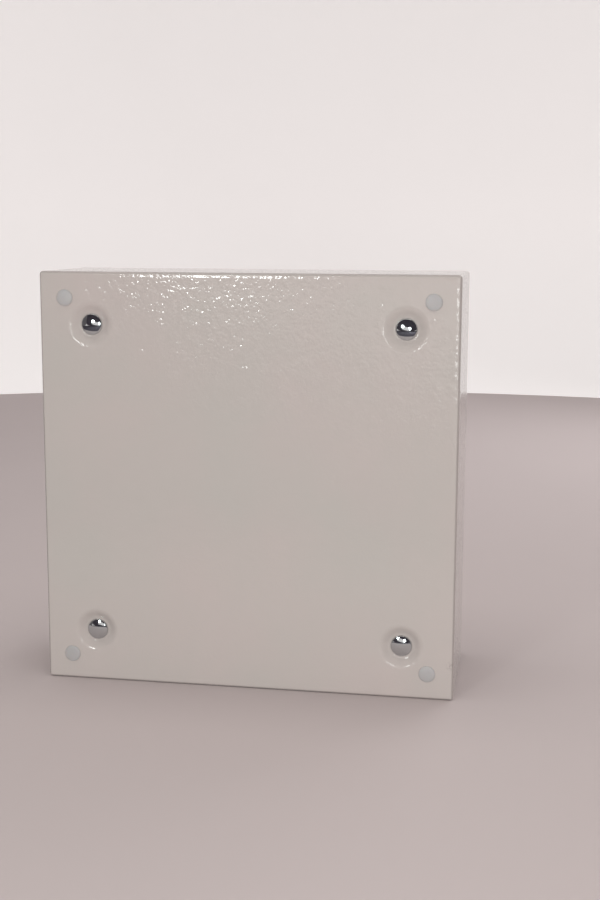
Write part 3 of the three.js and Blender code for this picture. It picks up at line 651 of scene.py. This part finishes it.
def case_shell():
    low, high = Vector((CASE_LOW.x, SHOULDER_Y, CASE_LOW.z)), CASE_HIGH
    sheet = Vector((SHEET, SHEET, SHEET))
    lip_half = HALF - LIP_INSET
    lip_end = SHOULDER_Y + SHEET / 2
    lip = extruded(rounded_outline(lip_half, lip_half, 3.5), "y", CASE_LOW.y, lip_end)
    lip_bore = extruded(rounded_outline(lip_half - SHEET, lip_half - SHEET, 2.0), "y",
                        CASE_LOW.y - 1, lip_end + 2)
    skin = REAR_Y - SHEET / 2
    dishes = joined(*[dish_solid(place, SHEET / 2, SHEET, skin) for place in BOLT_PLACES])
    hollows = joined(*[dish_solid(place, 0, 0, REAR_Y + 1) for place in BOLT_PLACES])
    necks = joined(*[square_about(x, z, NECK / 2 + NECK_ROOM, (REAR_Y - 10, REAR_Y + 1))
                     for x, z in BOLT_PLACES])
    plug_holes = joined(*[rod("y", PLUG_HOLE, REAR_Y - 3, REAR_Y + 1, (x, 0, z), SMALL)
                          for x, z in PLUG_PLACES])
    entry = block((-ENTRY_X, ENTRY_Y[0], -1), (ENTRY_X, ENTRY_Y[1], 2 * SHEET))
    shell = carve(block(low, high, BEND, 8), [
        ("DIFFERENCE", block(low + sheet, high - sheet, BEND - SHEET, 5)),
        ("UNION", lip),
        ("DIFFERENCE", lip_bore),
        ("UNION", dishes),
        ("DIFFERENCE", hollows),
        ("DIFFERENCE", necks),
        ("DIFFERENCE", plug_holes),
        ("DIFFERENCE", entry),
    ])
    piece("case_shell", shell, "case_paint", "case", ["case"], sharp=38)


def head_profile(base, crown):
    """A mushroom head: a wide shallow dome that turns over to a short straight edge."""
    dome = 27.0
    roll = 1.9
    low_centre = crown - dome
    roll_x = HEAD_RADIUS - roll
    reach = math.sqrt((dome - roll) ** 2 - roll_x ** 2)
    roll_y = low_centre + reach
    meet = math.asin(roll_x / (dome - roll))
    points = [(0, base), (HEAD_RADIUS - 0.2, base), (HEAD_RADIUS, base + 0.1)]
    rolls = 10
    for i in range(rolls):
        angle = i / rolls * (math.pi / 2 - meet)
        points.append((roll_x + roll * math.cos(angle), roll_y + roll * math.sin(angle)))
    rings = 24
    for i in range(rings):
        angle = meet * (1 - i / rings)
        points.append((dome * math.sin(angle), low_centre + dome * math.cos(angle)))
    return points + [(0, crown)]


def thread_profile(low, high):
    """A bolt's shank with the ridges of its thread, from low to high."""
    root = BOLT_RADIUS - BOLT_THREAD * 0.6
    points = [(0, low), (root, low)]
    y = low + BOLT_THREAD / 2
    while y < high - BOLT_THREAD:
        points += [(BOLT_RADIUS, y), (root, y + BOLT_THREAD / 2)]
        y += BOLT_THREAD
    return points + [(BOLT_RADIUS, high - BOLT_THREAD / 4), (BOLT_RADIUS, high), (0, high)]


def mounting_bolts():
    for i, (x, z) in enumerate(BOLT_PLACES, 1):
        low, high = node_box(f"mounting_bolt_{i}")
        base = REAR_Y - DISH_DEPTH + 0.2
        centre = (x, 0, z)
        head = turned(head_profile(base, high.y), "y", centre, 96)
        neck = square_about(x, z, NECK / 2, (base - NECK / 2, base + 0.6), 0.3)
        shank = turned(thread_profile(low.y, base - NECK / 2 + 0.5), "y", centre, 40)
        whole = carve(head, [("UNION", neck), ("UNION", shank)])
        piece(f"bolt_{i}", whole, "chrome", "case", [f"mounting_bolt_{i}"], sharp=40)


def spacers_and_nuts():
    for i, (x, z) in enumerate(BOLT_PLACES, 1):
        centre = (x, 0, z)
        low, high = node_box(f"spacer_{i}")
        bore = rod("y", BOLT_BORE, low.y - 1, high.y + 1, centre, 48)
        square = square_about(x, z, NECK / 2 + NECK_ROOM, (high.y - 3.2, high.y + 1))
        bar = carve(hexagon("y", NUT_FLATS, low.y, high.y, centre),
                    [("DIFFERENCE", bore), ("DIFFERENCE", square)])
        piece(f"hex_spacer_{i}", bar, "zinc", "case", [f"spacer_{i}"])

        low, high = node_box(f"plate_nut_{i}")
        flange = turned([(0, high.y), (9, high.y), (9, high.y - 0.8), (7.2, high.y - 1.6),
                         (0, high.y - 1.6)], "y", centre, 64)
        bore = rod("y", BOLT_BORE, low.y - 1, high.y + 1, centre, 48)
        nut = carve(hexagon("y", NUT_FLATS, low.y, high.y - 0.7, centre),
                    [("UNION", flange), ("DIFFERENCE", bore)])
        piece(f"flange_nut_{i}", nut, "zinc", "case", [f"plate_nut_{i}"])


def wall_plugs():
    for i, (x, z) in enumerate(PLUG_PLACES, 1):
        low, high = node_box(f"wall_plug_{i}")
        radius = (high.x - low.x) / 2
        seat = REAR_Y + 0.1
        skin = REAR_Y - SHEET
        edge = 0.45
        rise = high.y - seat
        cap = [(radius, seat + 0.1), (radius, seat + edge)]
        steps = 14
        for j in range(1, steps):
            share = j / steps
            cap.append((radius * math.cos(share * math.pi / 2),
                        seat + edge + (rise - edge) * math.sin(share * math.pi / 2)))
        profile = [(0, skin - 4), (4, skin - 4), (5.4, skin - 0.3), (4.7, skin - 0.3),
                   (4.7, seat), (radius - 0.15, seat), *cap, (0, high.y)]
        plug = turned(profile, "y", (x, 0, z), 64)
        piece(f"plug_{i}", plug, "plug_plastic", "case", [f"wall_plug_{i}"], sharp=45)


def mounting_plate():
    low, high = node_box("mounting_plate")
    plate = extruded(rounded_outline(high.x, high.x, 6), "y", low.y, high.y)
    hard = [edge for edge in plate.edges if edge.calc_face_angle(0) > 1.2]
    bmesh.ops.bevel(plate, geom=hard, offset=0.3, segments=2, profile=0.5, affect="EDGES")
    holes = joined(*[rod("y", BOLT_BORE, low.y - 1, high.y + 1, (x, 0, z), 48)
                     for x, z in BOLT_PLACES])
    plate = carve(plate, [("DIFFERENCE", holes)])
    piece("gear_plate", plate, "galvanised_steel", "case", ["mounting_plate"])


# ---- Cable entry ----


def cable_entry():
    low, high = node_box("entry_plate")
    gasket_low, gasket_high = node_box("entry_gasket")
    inset = 10
    ring = carve(block(gasket_low, gasket_high, 0.5, 3), [
        ("DIFFERENCE", block(gasket_low + Vector((inset, inset, -5)),
                             gasket_high + Vector((-inset, -inset, 5)))),
    ])
    piece("entry_seal", ring, "foam", "case", ["entry_gasket"])

    under = gasket_high.z + 0.3
    plate = block((low.x, low.y, under), high, 0.7, 3)
    middle = (low.y + high.y) / 2
    cups = []
    hollows = []
    for i in range(MEMBRANES):
        centre = ((i - (MEMBRANES - 1) / 2) * MEMBRANE_SPACING, middle, 0)
        cups.append(turned([(0, low.z), (6, low.z), (7, low.z + 0.5), (11, low.z + 0.5),
                            (12, low.z), (17.4, low.z), (18, low.z + 0.6),
                            (18, under + 1), (0, under + 1)], "z", centre))
        hollows.append(turned([(0, low.z + 0.7), (5.5, low.z + 0.7), (6.5, low.z + 1.2),
                               (11.5, low.z + 1.2), (12.5, low.z + 0.9), (15, low.z + 1.4),
                               (15.6, high.z + 1), (0, high.z + 1)], "z", centre))
    plate = carve(plate, [("UNION", joined(*cups)), ("DIFFERENCE", joined(*hollows))])
    piece("membrane_plate", plate, "entry_rubber", "case", ["entry_plate"])


# ---- Door ----


def door_pan():
    low, high = node_box("door")
    outer = block(low, (high.x, high.y + 12, high.z), BEND, 8)
    inside = block((low.x + SHEET, low.y + SHEET, low.z + SHEET),
                   (high.x - SHEET, high.y + 20, high.z - SHEET), BEND - SHEET, 5)
    spare = block((low.x - 5, high.y, low.z - 5), (high.x + 5, high.y + 30, high.z + 5))
    lock = node_middle("lock_barrel")
    hole = rod("y", LOCK_HOLE, low.y - 1, low.y + 3, (lock.x, 0, lock.z), 64)
    notches = [block((low.x - 2, low.y + BEND + 1, z - 19), (low.x + 5, high.y + 1, z + 19))
               for z in HINGES.values()]
    pan = carve(outer, [
        ("DIFFERENCE", inside),
        ("DIFFERENCE", spare),
        ("DIFFERENCE", hole),
        ("DIFFERENCE", joined(*notches)),
    ])
    piece("door_pan", pan, "door_paint", "door", ["door"], sharp=38)


def door_seal():
    """The foamed seal: a soft bead that runs round inside the door."""
    low, high = node_box("door_gasket")
    outer_half = high.x
    width = 9.0
    steps = 12
    sections = []
    for i in range(steps + 1):
        share = i / steps
        swell = math.sin(math.pi * share) ** 0.5
        y = low.y + (high.y - low.y) * swell
        sections.append((share * width, y))
    mesh = bmesh.new()
    rings = []
    for inset, y in sections:
        half = outer_half - inset
        radius = 8 - inset * 4 / width
        outline = rounded_outline(half, half, radius, 8)
        rings.append([mesh.verts.new((x, y, z)) for x, z in outline])
    rings.append([mesh.verts.new((v.co.x, low.y, v.co.z)) for v in rings[0]])
    for near, far in zip(rings, rings[1:] + rings[:1]):
        band(mesh, near, far)
    bmesh.ops.recalc_face_normals(mesh, faces=mesh.faces)
    piece("door_seal", mesh, "foam", "door", ["door_gasket"], sharp=50)


def hinges():
    """Each hinge: a foot and a knuckle on the case, a leaf with two ears on the door, a pin."""
    bore, barrel, ear_place, ear_half = 2.75, 8, 11.5, 2.5
    for name, z_mid in HINGES.items():
        bracket = f"hinge_bracket_{name}"
        leaf = f"door_leaf_{name}"
        pin = f"hinge_pin_{name}"
        low, high = node_box(pin)
        x, y = node_middle(pin).xy
        top = high.z

        b_low, b_high = node_box(bracket)
        web = block((x - 1.5, y, z_mid - barrel), (x + 1.5, b_high.y, z_mid + barrel), 0.3, 2)
        foot = block((b_low.x if b_low.x > x - 2 else x - 1.5, b_high.y - 2, b_low.z),
                     b_high, 0.5, 3)
        knuckle = rod("z", 4.3, z_mid - barrel, z_mid + barrel, (x, y, 0), 48, 0.3)
        hole = rod("z", bore, z_mid - 30, z_mid + 30, (x, y, 0), 48)
        whole = carve(web, [("UNION", foot), ("UNION", knuckle), ("DIFFERENCE", hole)])
        piece(f"case_hinge_{name}", whole, "zinc", "case", [bracket])

        l_low, l_high = node_box(leaf)
        plate = block(l_low, (x + 4.5, l_low.y + 1.8, l_high.z), 0.3, 2)
        cuts = []
        for side in (-1, 1):
            ear_low = z_mid + side * ear_place - ear_half
            ear_high = z_mid + side * ear_place + ear_half
            arm = block((x - 3, l_low.y + 0.2, ear_low), (x + 3, y, ear_high), 0.2, 2)
            eye = rod("z", 4, ear_low, ear_high, (x, y, 0), 48, 0.3)
            cuts += [("UNION", arm), ("UNION", eye)]
        hole = rod("z", bore, z_mid - 30, z_mid + 30, (x, y, 0), 48)
        whole = carve(plate, [*cuts, ("DIFFERENCE", hole)])
        piece(f"door_hinge_{name}", whole, "zinc", "door", [leaf])

        shaft = [(0, low.z), (1.8, low.z), (2.4, low.z + 0.6), (2.4, top - 2), (3.3, top - 2),
                 (3.6, top - 1.7), (3.4, top - 0.6), (2.4, top - 0.15), (0, top)]
        pin_mesh = turned(shaft, "z", (x, y, 0), 40)
        piece(f"pin_{name}", pin_mesh, "zinc", frame["nodes"][pin]["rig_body"], [pin], sharp=45)


def lock():
    """A ribbed barrel behind a round collar, its ring nut, the keyed rotor and the cam."""
    low, high = node_box("lock_barrel")
    middle = node_middle("lock_barrel")
    centre = (middle.x, 0, middle.z)
    collar = CASE_LOW.y - 9.6
    radius = (high.x - low.x) / 2
    front = low.y
    barrel_r = 9.6
    profile = [(0, high.y), (barrel_r - 0.4, high.y), (barrel_r, high.y - 0.4)]
    y = high.y - 1.2
    while y > collar + 3.6:
        profile += [(barrel_r - 0.45, y), (barrel_r, y - 0.5)]
        y -= 1.0
    profile += [(barrel_r, collar), (radius - 0.2, collar), (radius, collar - 0.2),
                (radius, collar - 0.8), (radius - 0.5, front + 0.25), (radius - 1.1, front),
                (0, front)]
    bore = turned([(0, high.y + 1), (6.3, high.y + 1), (6.3, front + 0.7), (6.9, front - 0.5),
                   (0, front - 0.5)], "y", centre, 64)
    barrel = carve(turned(profile, "y", centre, 80), [("DIFFERENCE", bore)])
    piece("lock_housing", barrel, "zinc", "door", ["lock_barrel"])

    low, high = node_box("lock_nut")
    hole = rod("y", LOCK_HOLE, low.y - 1, high.y + 1, centre, 64)
    nut = carve(hexagon("y", 22, low.y, high.y, centre), [("DIFFERENCE", hole)])
    piece("lock_ring_nut", nut, "zinc", "door", ["lock_nut"])

    low, high = node_box("lock_rotor")
    square_from, key_end = -53.5, -66.0
    cylinder = rod("y", 6, low.y, square_from, centre, 64, 0.25)
    square = square_about(middle.x, middle.z, 3.4, (square_from - 0.5, high.y), 0.4)
    keyway = rod("y", 4.2, low.y - 1, key_end, centre, 48)
    key_pin = rod("y", 1.5, low.y + 1, key_end + 0.5, centre, 32, 0.3)
    rotor = carve(cylinder, [("UNION", square), ("DIFFERENCE", keyway), ("UNION", key_pin)])
    piece("lock_core", rotor, "zinc", "lock", ["lock_rotor"])

    low, high = node_box("lock_cam")
    hub = rod("y", 9, low.y, high.y, centre, 64, 0.3)
    arm = block((middle.x - 7, low.y, low.z), (middle.x + 7, high.y, middle.z), 0.5, 3)
    hole = square_about(middle.x, middle.z, 3.65, (low.y - 1, high.y + 1))
    cam = carve(hub, [("UNION", arm), ("DIFFERENCE", hole)])
    piece("cam", cam, "zinc", "lock", ["lock_cam"])


# ---- Screws ----


def screw(name, centre, radius, height):
    """A zinc pan head with a cross recess, on the case. It stands out toward -Y from centre."""
    profile = [(0, 0), (radius, 0), (radius, height * 0.35)]
    for i in range(1, 7):
        angle = i / 7 * math.pi / 2
        profile.append((radius * (0.35 + 0.65 * math.cos(angle)),
                        height * (0.35 + 0.65 * math.sin(angle))))
    profile.append((0, height))
    head = turned(profile, "z", (0, 0, 0), SMALL)
    arm = radius * 0.58
    slim = radius * 0.13
    sink = height * 0.35
    recess = [block((-arm, -slim, sink), (arm, slim, height + 1)),
              block((-slim, -arm, sink), (slim, arm, height + 1))]
    head = carve(head, [("DIFFERENCE", tool) for tool in recess])
    turn = framed("y") @ Matrix.Diagonal((1, 1, -1, 1))
    bmesh.ops.transform(head, matrix=Matrix.Translation(Vector(centre)) @ turn, verts=head.verts)
    bmesh.ops.reverse_faces(head, faces=head.faces)
    bmesh.ops.recalc_face_normals(head, faces=head.faces)
    piece(name, head, "zinc", "case", sharp=40)


# ---- Rail-mounted gear ----


def rails():
    """Two slotted top-hat rails, each on two screws."""
    brim, crown, thick = 17.5, 13.5, 1.0
    slot_reach, slot_spacing = 137.5, 25
    for name in ("upper", "lower"):
        node = f"din_rail_{name}"
        low, high = node_box(node)
        middle = node_middle(node)
        front, back = low.y, high.y
        half = [(front, brim), (front, crown - thick), (back - thick, crown - thick)]
        outer = [(back, crown), (front + thick, crown), (front + thick, brim)]
        outline = [*half, *[(y, -v) for y, v in reversed(half)],
                   *[(y, -v) for y, v in reversed(outer)], *outer]
        rail = extruded([(y, middle.z + v) for y, v in outline], "x", low.x, high.x)
        bends = [edge for edge in rail.edges
                 if abs(edge.verts[0].co.x - edge.verts[1].co.x) > 100]
        bmesh.ops.bevel(rail, geom=bends, offset=0.45, segments=3, profile=0.5, affect="EDGES")
        slots = []
        x = -slot_reach
        while x <= slot_reach:
            slots.append(block((x - 7.5, back - 3, middle.z - 3.1),
                               (x + 7.5, back + 1, middle.z + 3.1)))
            x += slot_spacing
        rail = carve(rail, [("DIFFERENCE", joined(*slots))])
        piece(f"rail_{name}", rail, "galvanised_steel", "case", [node])
        for side in (-1, 1):
            screw(f"rail_{name}_screw_{'left' if side < 0 else 'right'}",
                  (side * slot_reach, back - thick, middle.z), 4.2, 2.4)


def terminal_screws(name, xs, y, zs):
    for i, (x, z) in enumerate([(x, z) for x in xs for z in zs], 1):
        screw(f"{name}_screw_{i}", (x, y, z), 2.5, 1.2)


def fuses():
    """Holder, swinging carrier, and a ceramic tube with its two end caps, for each fuse."""
    for i in FUSES:
        holder = f"fuse_holder_{i}"
        low, high = node_box(holder)
        middle = node_middle(holder)
        eased(holder, "housing_plastic", "case", 0.45)
        rail_y = node_box("din_rail_lower")[0].y
        terminal_screws(holder, [middle.x], rail_y - 26, [low.z + 6, high.z - 6])
        carrier = f"fuse_carrier_{i}"
        eased(carrier, "carrier_plastic", f"carrier_{i}", 0.5)

        fuse = f"fuse_{i}"
        low, high = node_box(fuse)
        centre = node_middle(fuse)
        at = (centre.x, centre.y, 0)
        radius = (high.x - low.x) / 2
        tube = rod("z", radius - 0.35, low.z + 1, high.z - 1, at, 48, 0.2)
        piece(f"{fuse}_tube", tube, "ceramic", f"carrier_{i}", [fuse])
        for end, base, tip in (("low", low.z + 10, low.z), ("high", high.z - 10, high.z)):
            way = 1 if tip > base else -1
            profile = [(radius - 0.3, base), (radius, base), (radius, tip - way * 0.8),
                       (radius - 0.3, tip - way * 0.2), (radius - 0.9, tip), (0.01, tip),
                       (0.01, tip - way * 0.5), (radius - 0.3, tip - way * 0.6)]
            cap = turned(profile, "z", at, 48)
            piece(f"{fuse}_cap_{end}", cap, "chrome", f"carrier_{i}", sharp=45)


def busbars():
    for name in ("busbar_positive", "busbar_negative"):
        eased(name, "copper", "case", 0.25, 2)


def surge_protector():
    eased("surge_base", "housing_plastic", "case", 0.45)
    low, high = node_box("surge_base")
    rail_y = node_box("din_rail_upper")[0].y
    middles = [node_middle(f"surge_cartridge_{i}").x for i in CARTRIDGES]
    terminal_screws("surge", middles, rail_y - 36, [low.z + 6, high.z - 6])
    for i in CARTRIDGES:
        eased(f"surge_cartridge_{i}", "cartridge_plastic", f"cartridge_{i}", 0.5)


def switch():
    eased("switch_body", "housing_plastic", "case", 0.5)
    low, high = node_box("switch_body")
    middle = node_middle("switch_body")
    rail_y = node_box("din_rail_upper")[0].y
    terminal_screws("switch", [middle.x - 30.5, middle.x + 30.5], rail_y - 32,
                    [low.z + 6, high.z - 6])

    low, high = node_box("switch_handle")
    middle = node_middle("switch_handle")
    centre = (middle.x, 0, middle.z)
    disc = turned([(0, rail_y - 59.5), (15.6, rail_y - 59.5), (16, rail_y - 60),
                   (15.3, rail_y - 64.3), (14.6, rail_y - 65), (0, rail_y - 65)],
                  "y", centre, 80)
    shaft = rod("y", 4, rail_y - 60, high.y, centre, 40)
    grip = block((middle.x - 4, low.y, middle.z - 14), (middle.x + 4, rail_y - 64, middle.z + 14),
                 2.2, 5)
    mark = block((middle.x - 0.7, low.y - 1, middle.z + 4),
                 (middle.x + 0.7, low.y + 0.4, middle.z + 12))
    handle = carve(disc, [("UNION", shaft), ("UNION", grip), ("DIFFERENCE", mark)])
    piece("handle_knob", handle, "handle_plastic", "handle", ["switch_handle"])


def earth_bar():
    eased("earth_bar", "brass", "case", 0.4)
    front = node_box("earth_bar")[0].y
    middle = node_middle("earth_bar")
    screws, spacing = 5, 15
    for i in range(screws):
        x = middle.x + (i - (screws - 1) / 2) * spacing
        screw(f"earth_screw_{i + 1}", (x, front, middle.z), 2.6, 1.6)


def wires():
    """Each wire is its CAD tube made round and smooth by subdivision."""
    slots = {"wire_positive": "wire_red", "wire_surge_positive": "wire_red",
             "wire_negative": "wire_black", "wire_surge_negative": "wire_black",
             "wire_earth": "wire_green"}
    for name, slot in slots.items():
        mesh = node_mesh(name)
        bmesh.ops.join_triangles(mesh, faces=mesh.faces, angle_face_threshold=math.radians(60),
                                 angle_shape_threshold=math.radians(60))
        made = piece(f"{name}_sheath", mesh, slot, "case", [name], sharp=180, weld=0)
        made.modifiers.clear()
        smooth = made.modifiers.new("round", "SUBSURF")
        smooth.levels = 2
        smooth.render_levels = 2


def carried_over():
    """CAD nodes that keep their own shape get their record slot's finish."""
    for entry in frame["record"]["subparts"]:
        node = frame["nodes"][entry["node"]]
        if not node.hide_render:
            node.data.materials.clear()
            node.data.materials.append(MATERIALS[entry["material_slot"]])


# ---- Studio ----

FLOOR_COLOUR = (0.53, 0.465, 0.462)
BACKDROP_COLOUR = (0.8, 0.775, 0.77)


def camera():
    """Stands behind the box, a little above it, and looks at the rear panel."""
    heading = math.radians(189.895)
    pitch = math.radians(9.26)
    roll = math.radians(0.24)
    data = bpy.data.cameras.new("camera")
    data.sensor_width = 36
    data.lens = 54.1
    made = bpy.data.objects.new("camera", data)
    made.matrix_world = (
        Matrix.Translation((-0.2671, 1.3064, 0.4398))
        @ Matrix.Rotation(heading, 4, "Z")
        @ Matrix.Rotation(math.pi / 2 - pitch, 4, "X")
        @ Matrix.Rotation(roll, 4, "Z")
    )
    bpy.context.scene.collection.objects.link(made)
    bpy.context.scene.camera = made


def stage_piece(name, mesh, colour, emission=0.0):
    """A matt surface of the studio, which may give light of its own."""
    shader = Shader(name, roughness=0.9)
    shader.colour(shader.mix(shader.noise(300, detail=3), colour, darker(colour, 0.97)))
    if emission:
        shader.bsdf.inputs["Emission Color"].default_value = (*colour, 1)
        shader.bsdf.inputs["Emission Strength"].default_value = emission
    made = placed(name, mesh)
    made.data.materials.append(shader.material)
    made.data.shade_smooth()
    return made


def floor_and_backdrop():
    """A pale round floor, with a pale wall round it that gives soft light of its own."""
    reach = 2.9
    cove = 0.5
    wall = 2.4
    sides = 96
    floor = bmesh.new()
    bmesh.ops.create_circle(floor, cap_ends=True, segments=sides, radius=reach - cove)
    stage_piece("floor", floor, FLOOR_COLOUR)
    profile = [(reach - cove, 0)]
    for i in range(1, 13):
        angle = i / 12 * math.pi / 2
        profile.append((reach - cove + cove * math.sin(angle), cove * (1 - math.cos(angle))))
    profile.append((reach, wall))
    backdrop = bmesh.new()
    rings = [circle(backdrop, radius, z, sides) for radius, z in profile]
    for low, high in zip(rings, rings[1:]):
        band(backdrop, high, low)
    stage_piece("backdrop", backdrop, BACKDROP_COLOUR, emission=0.38)


def card(name, corners, colour, emission=0.0):
    """A card that is seen only in reflections."""
    mesh = bmesh.new()
    mesh.faces.new([mesh.verts.new(corner) for corner in corners])
    made = stage_piece(name, mesh, colour, emission=emission)
    made.visible_camera = False
    made.visible_diffuse = False
    made.visible_shadow = False
    made.visible_transmission = False
    made.visible_volume_scatter = False


def reflected_room():
    """Dark cards on the rear panel's side, so that bright plating reads against them."""
    dark = (0.08, 0.07, 0.09)
    near, low, far, roof, side = REAR_Y * MM + 0.55, 0.004, 2.2, 1.9, 1.8
    card("dark_floor", [(-side, near, low), (side, near, low), (side, far, low),
                        (-side, far, low)], dark)
    card("dark_wall", [(-side, far, low), (side, far, low), (side, far, roof),
                       (-side, far, roof)], dark)
    card("dark_ceiling", [(-side, near, roof), (side, near, roof), (side, far, roof),
                          (-side, far, roof)], dark)
    for x, name, colour in ((-side, "dark_right", dark), (side, "grey_left", (0.2, 0.19, 0.2))):
        card(name, [(x, near, low), (x, far, low), (x, far, roof), (x, near, roof)], colour)
    between_lamps = ((-18, 2), (6, -4), (12, 3), (10, 7), (-13, 15), (-17, 14))
    corners = [from_panel(azimuth, elevation, 1.8) for azimuth, elevation in between_lamps]
    card("pale_card", corners, (0.8, 0.8, 0.8), emission=0.4)


def lamp(name, place, power, size, colour=(1, 1, 1), size_y=None, aim=PANEL_MIDDLE * MM,
         glossy=True):
    """A lamp of so many watts that faces aim: a disc size across, or a size by size_y panel."""
    data = bpy.data.lights.new(name, "AREA")
    data.shape = "RECTANGLE" if size_y else "DISK"
    data.size = size
    if size_y:
        data.size_y = size_y
    data.energy = power
    data.color = colour
    made = bpy.data.objects.new(name, data)
    made.location = place
    made.rotation_euler = (Vector(aim) - Vector(place)).to_track_quat("-Z", "Y").to_euler()
    made.visible_camera = False
    made.visible_glossy = glossy
    bpy.context.scene.collection.objects.link(made)


def from_panel(azimuth, elevation, distance):
    """A point seen from the panel's middle. Azimuth grows to the right as seen from behind."""
    a, e = math.radians(azimuth), math.radians(elevation)
    way = Vector((-math.sin(a) * math.cos(e), math.cos(a) * math.cos(e), math.sin(e)))
    return PANEL_MIDDLE * MM + way * distance


def lights():
    lamp("lamp_left", from_panel(-15, 14, 1.5), 4, 0.26, (0.94, 1, 0.97))
    lamp("lamp_right", from_panel(11.5, 4, 2.05), 4, 0.42, (0.94, 1, 0.98))
    lamp("side_fill", from_panel(26, -3, 1.4), 7.5, 0.6, (1, 0.98, 0.96), glossy=False)
    lamp("top_lamp", (0, 0.15, 1.8), 10, 1.4, (1, 0.97, 0.92), size_y=1.0, aim=(0, 0.05, 0))
    lamp("front_fill", (-0.9, -1.7, 1.1), 11, 1.4, size_y=0.8, aim=(0, 0, 0.2))
    world = bpy.data.worlds.new("studio")
    world.use_nodes = True
    background = world.node_tree.nodes["Background"]
    background.inputs["Color"].default_value = (0.9, 0.88, 0.87, 1)
    background.inputs["Strength"].default_value = 0.33
    bpy.context.scene.world = world


camera()
floor_and_backdrop()
reflected_room()
lights()
bpy.context.scene.view_settings.view_transform = "Standard"

case_shell()
mounting_bolts()
spacers_and_nuts()
wall_plugs()
mounting_plate()
cable_entry()
door_pan()
door_seal()
hinges()
lock()
rails()
fuses()
busbars()
surge_protector()
switch()
earth_bar()
wires()
carried_over()
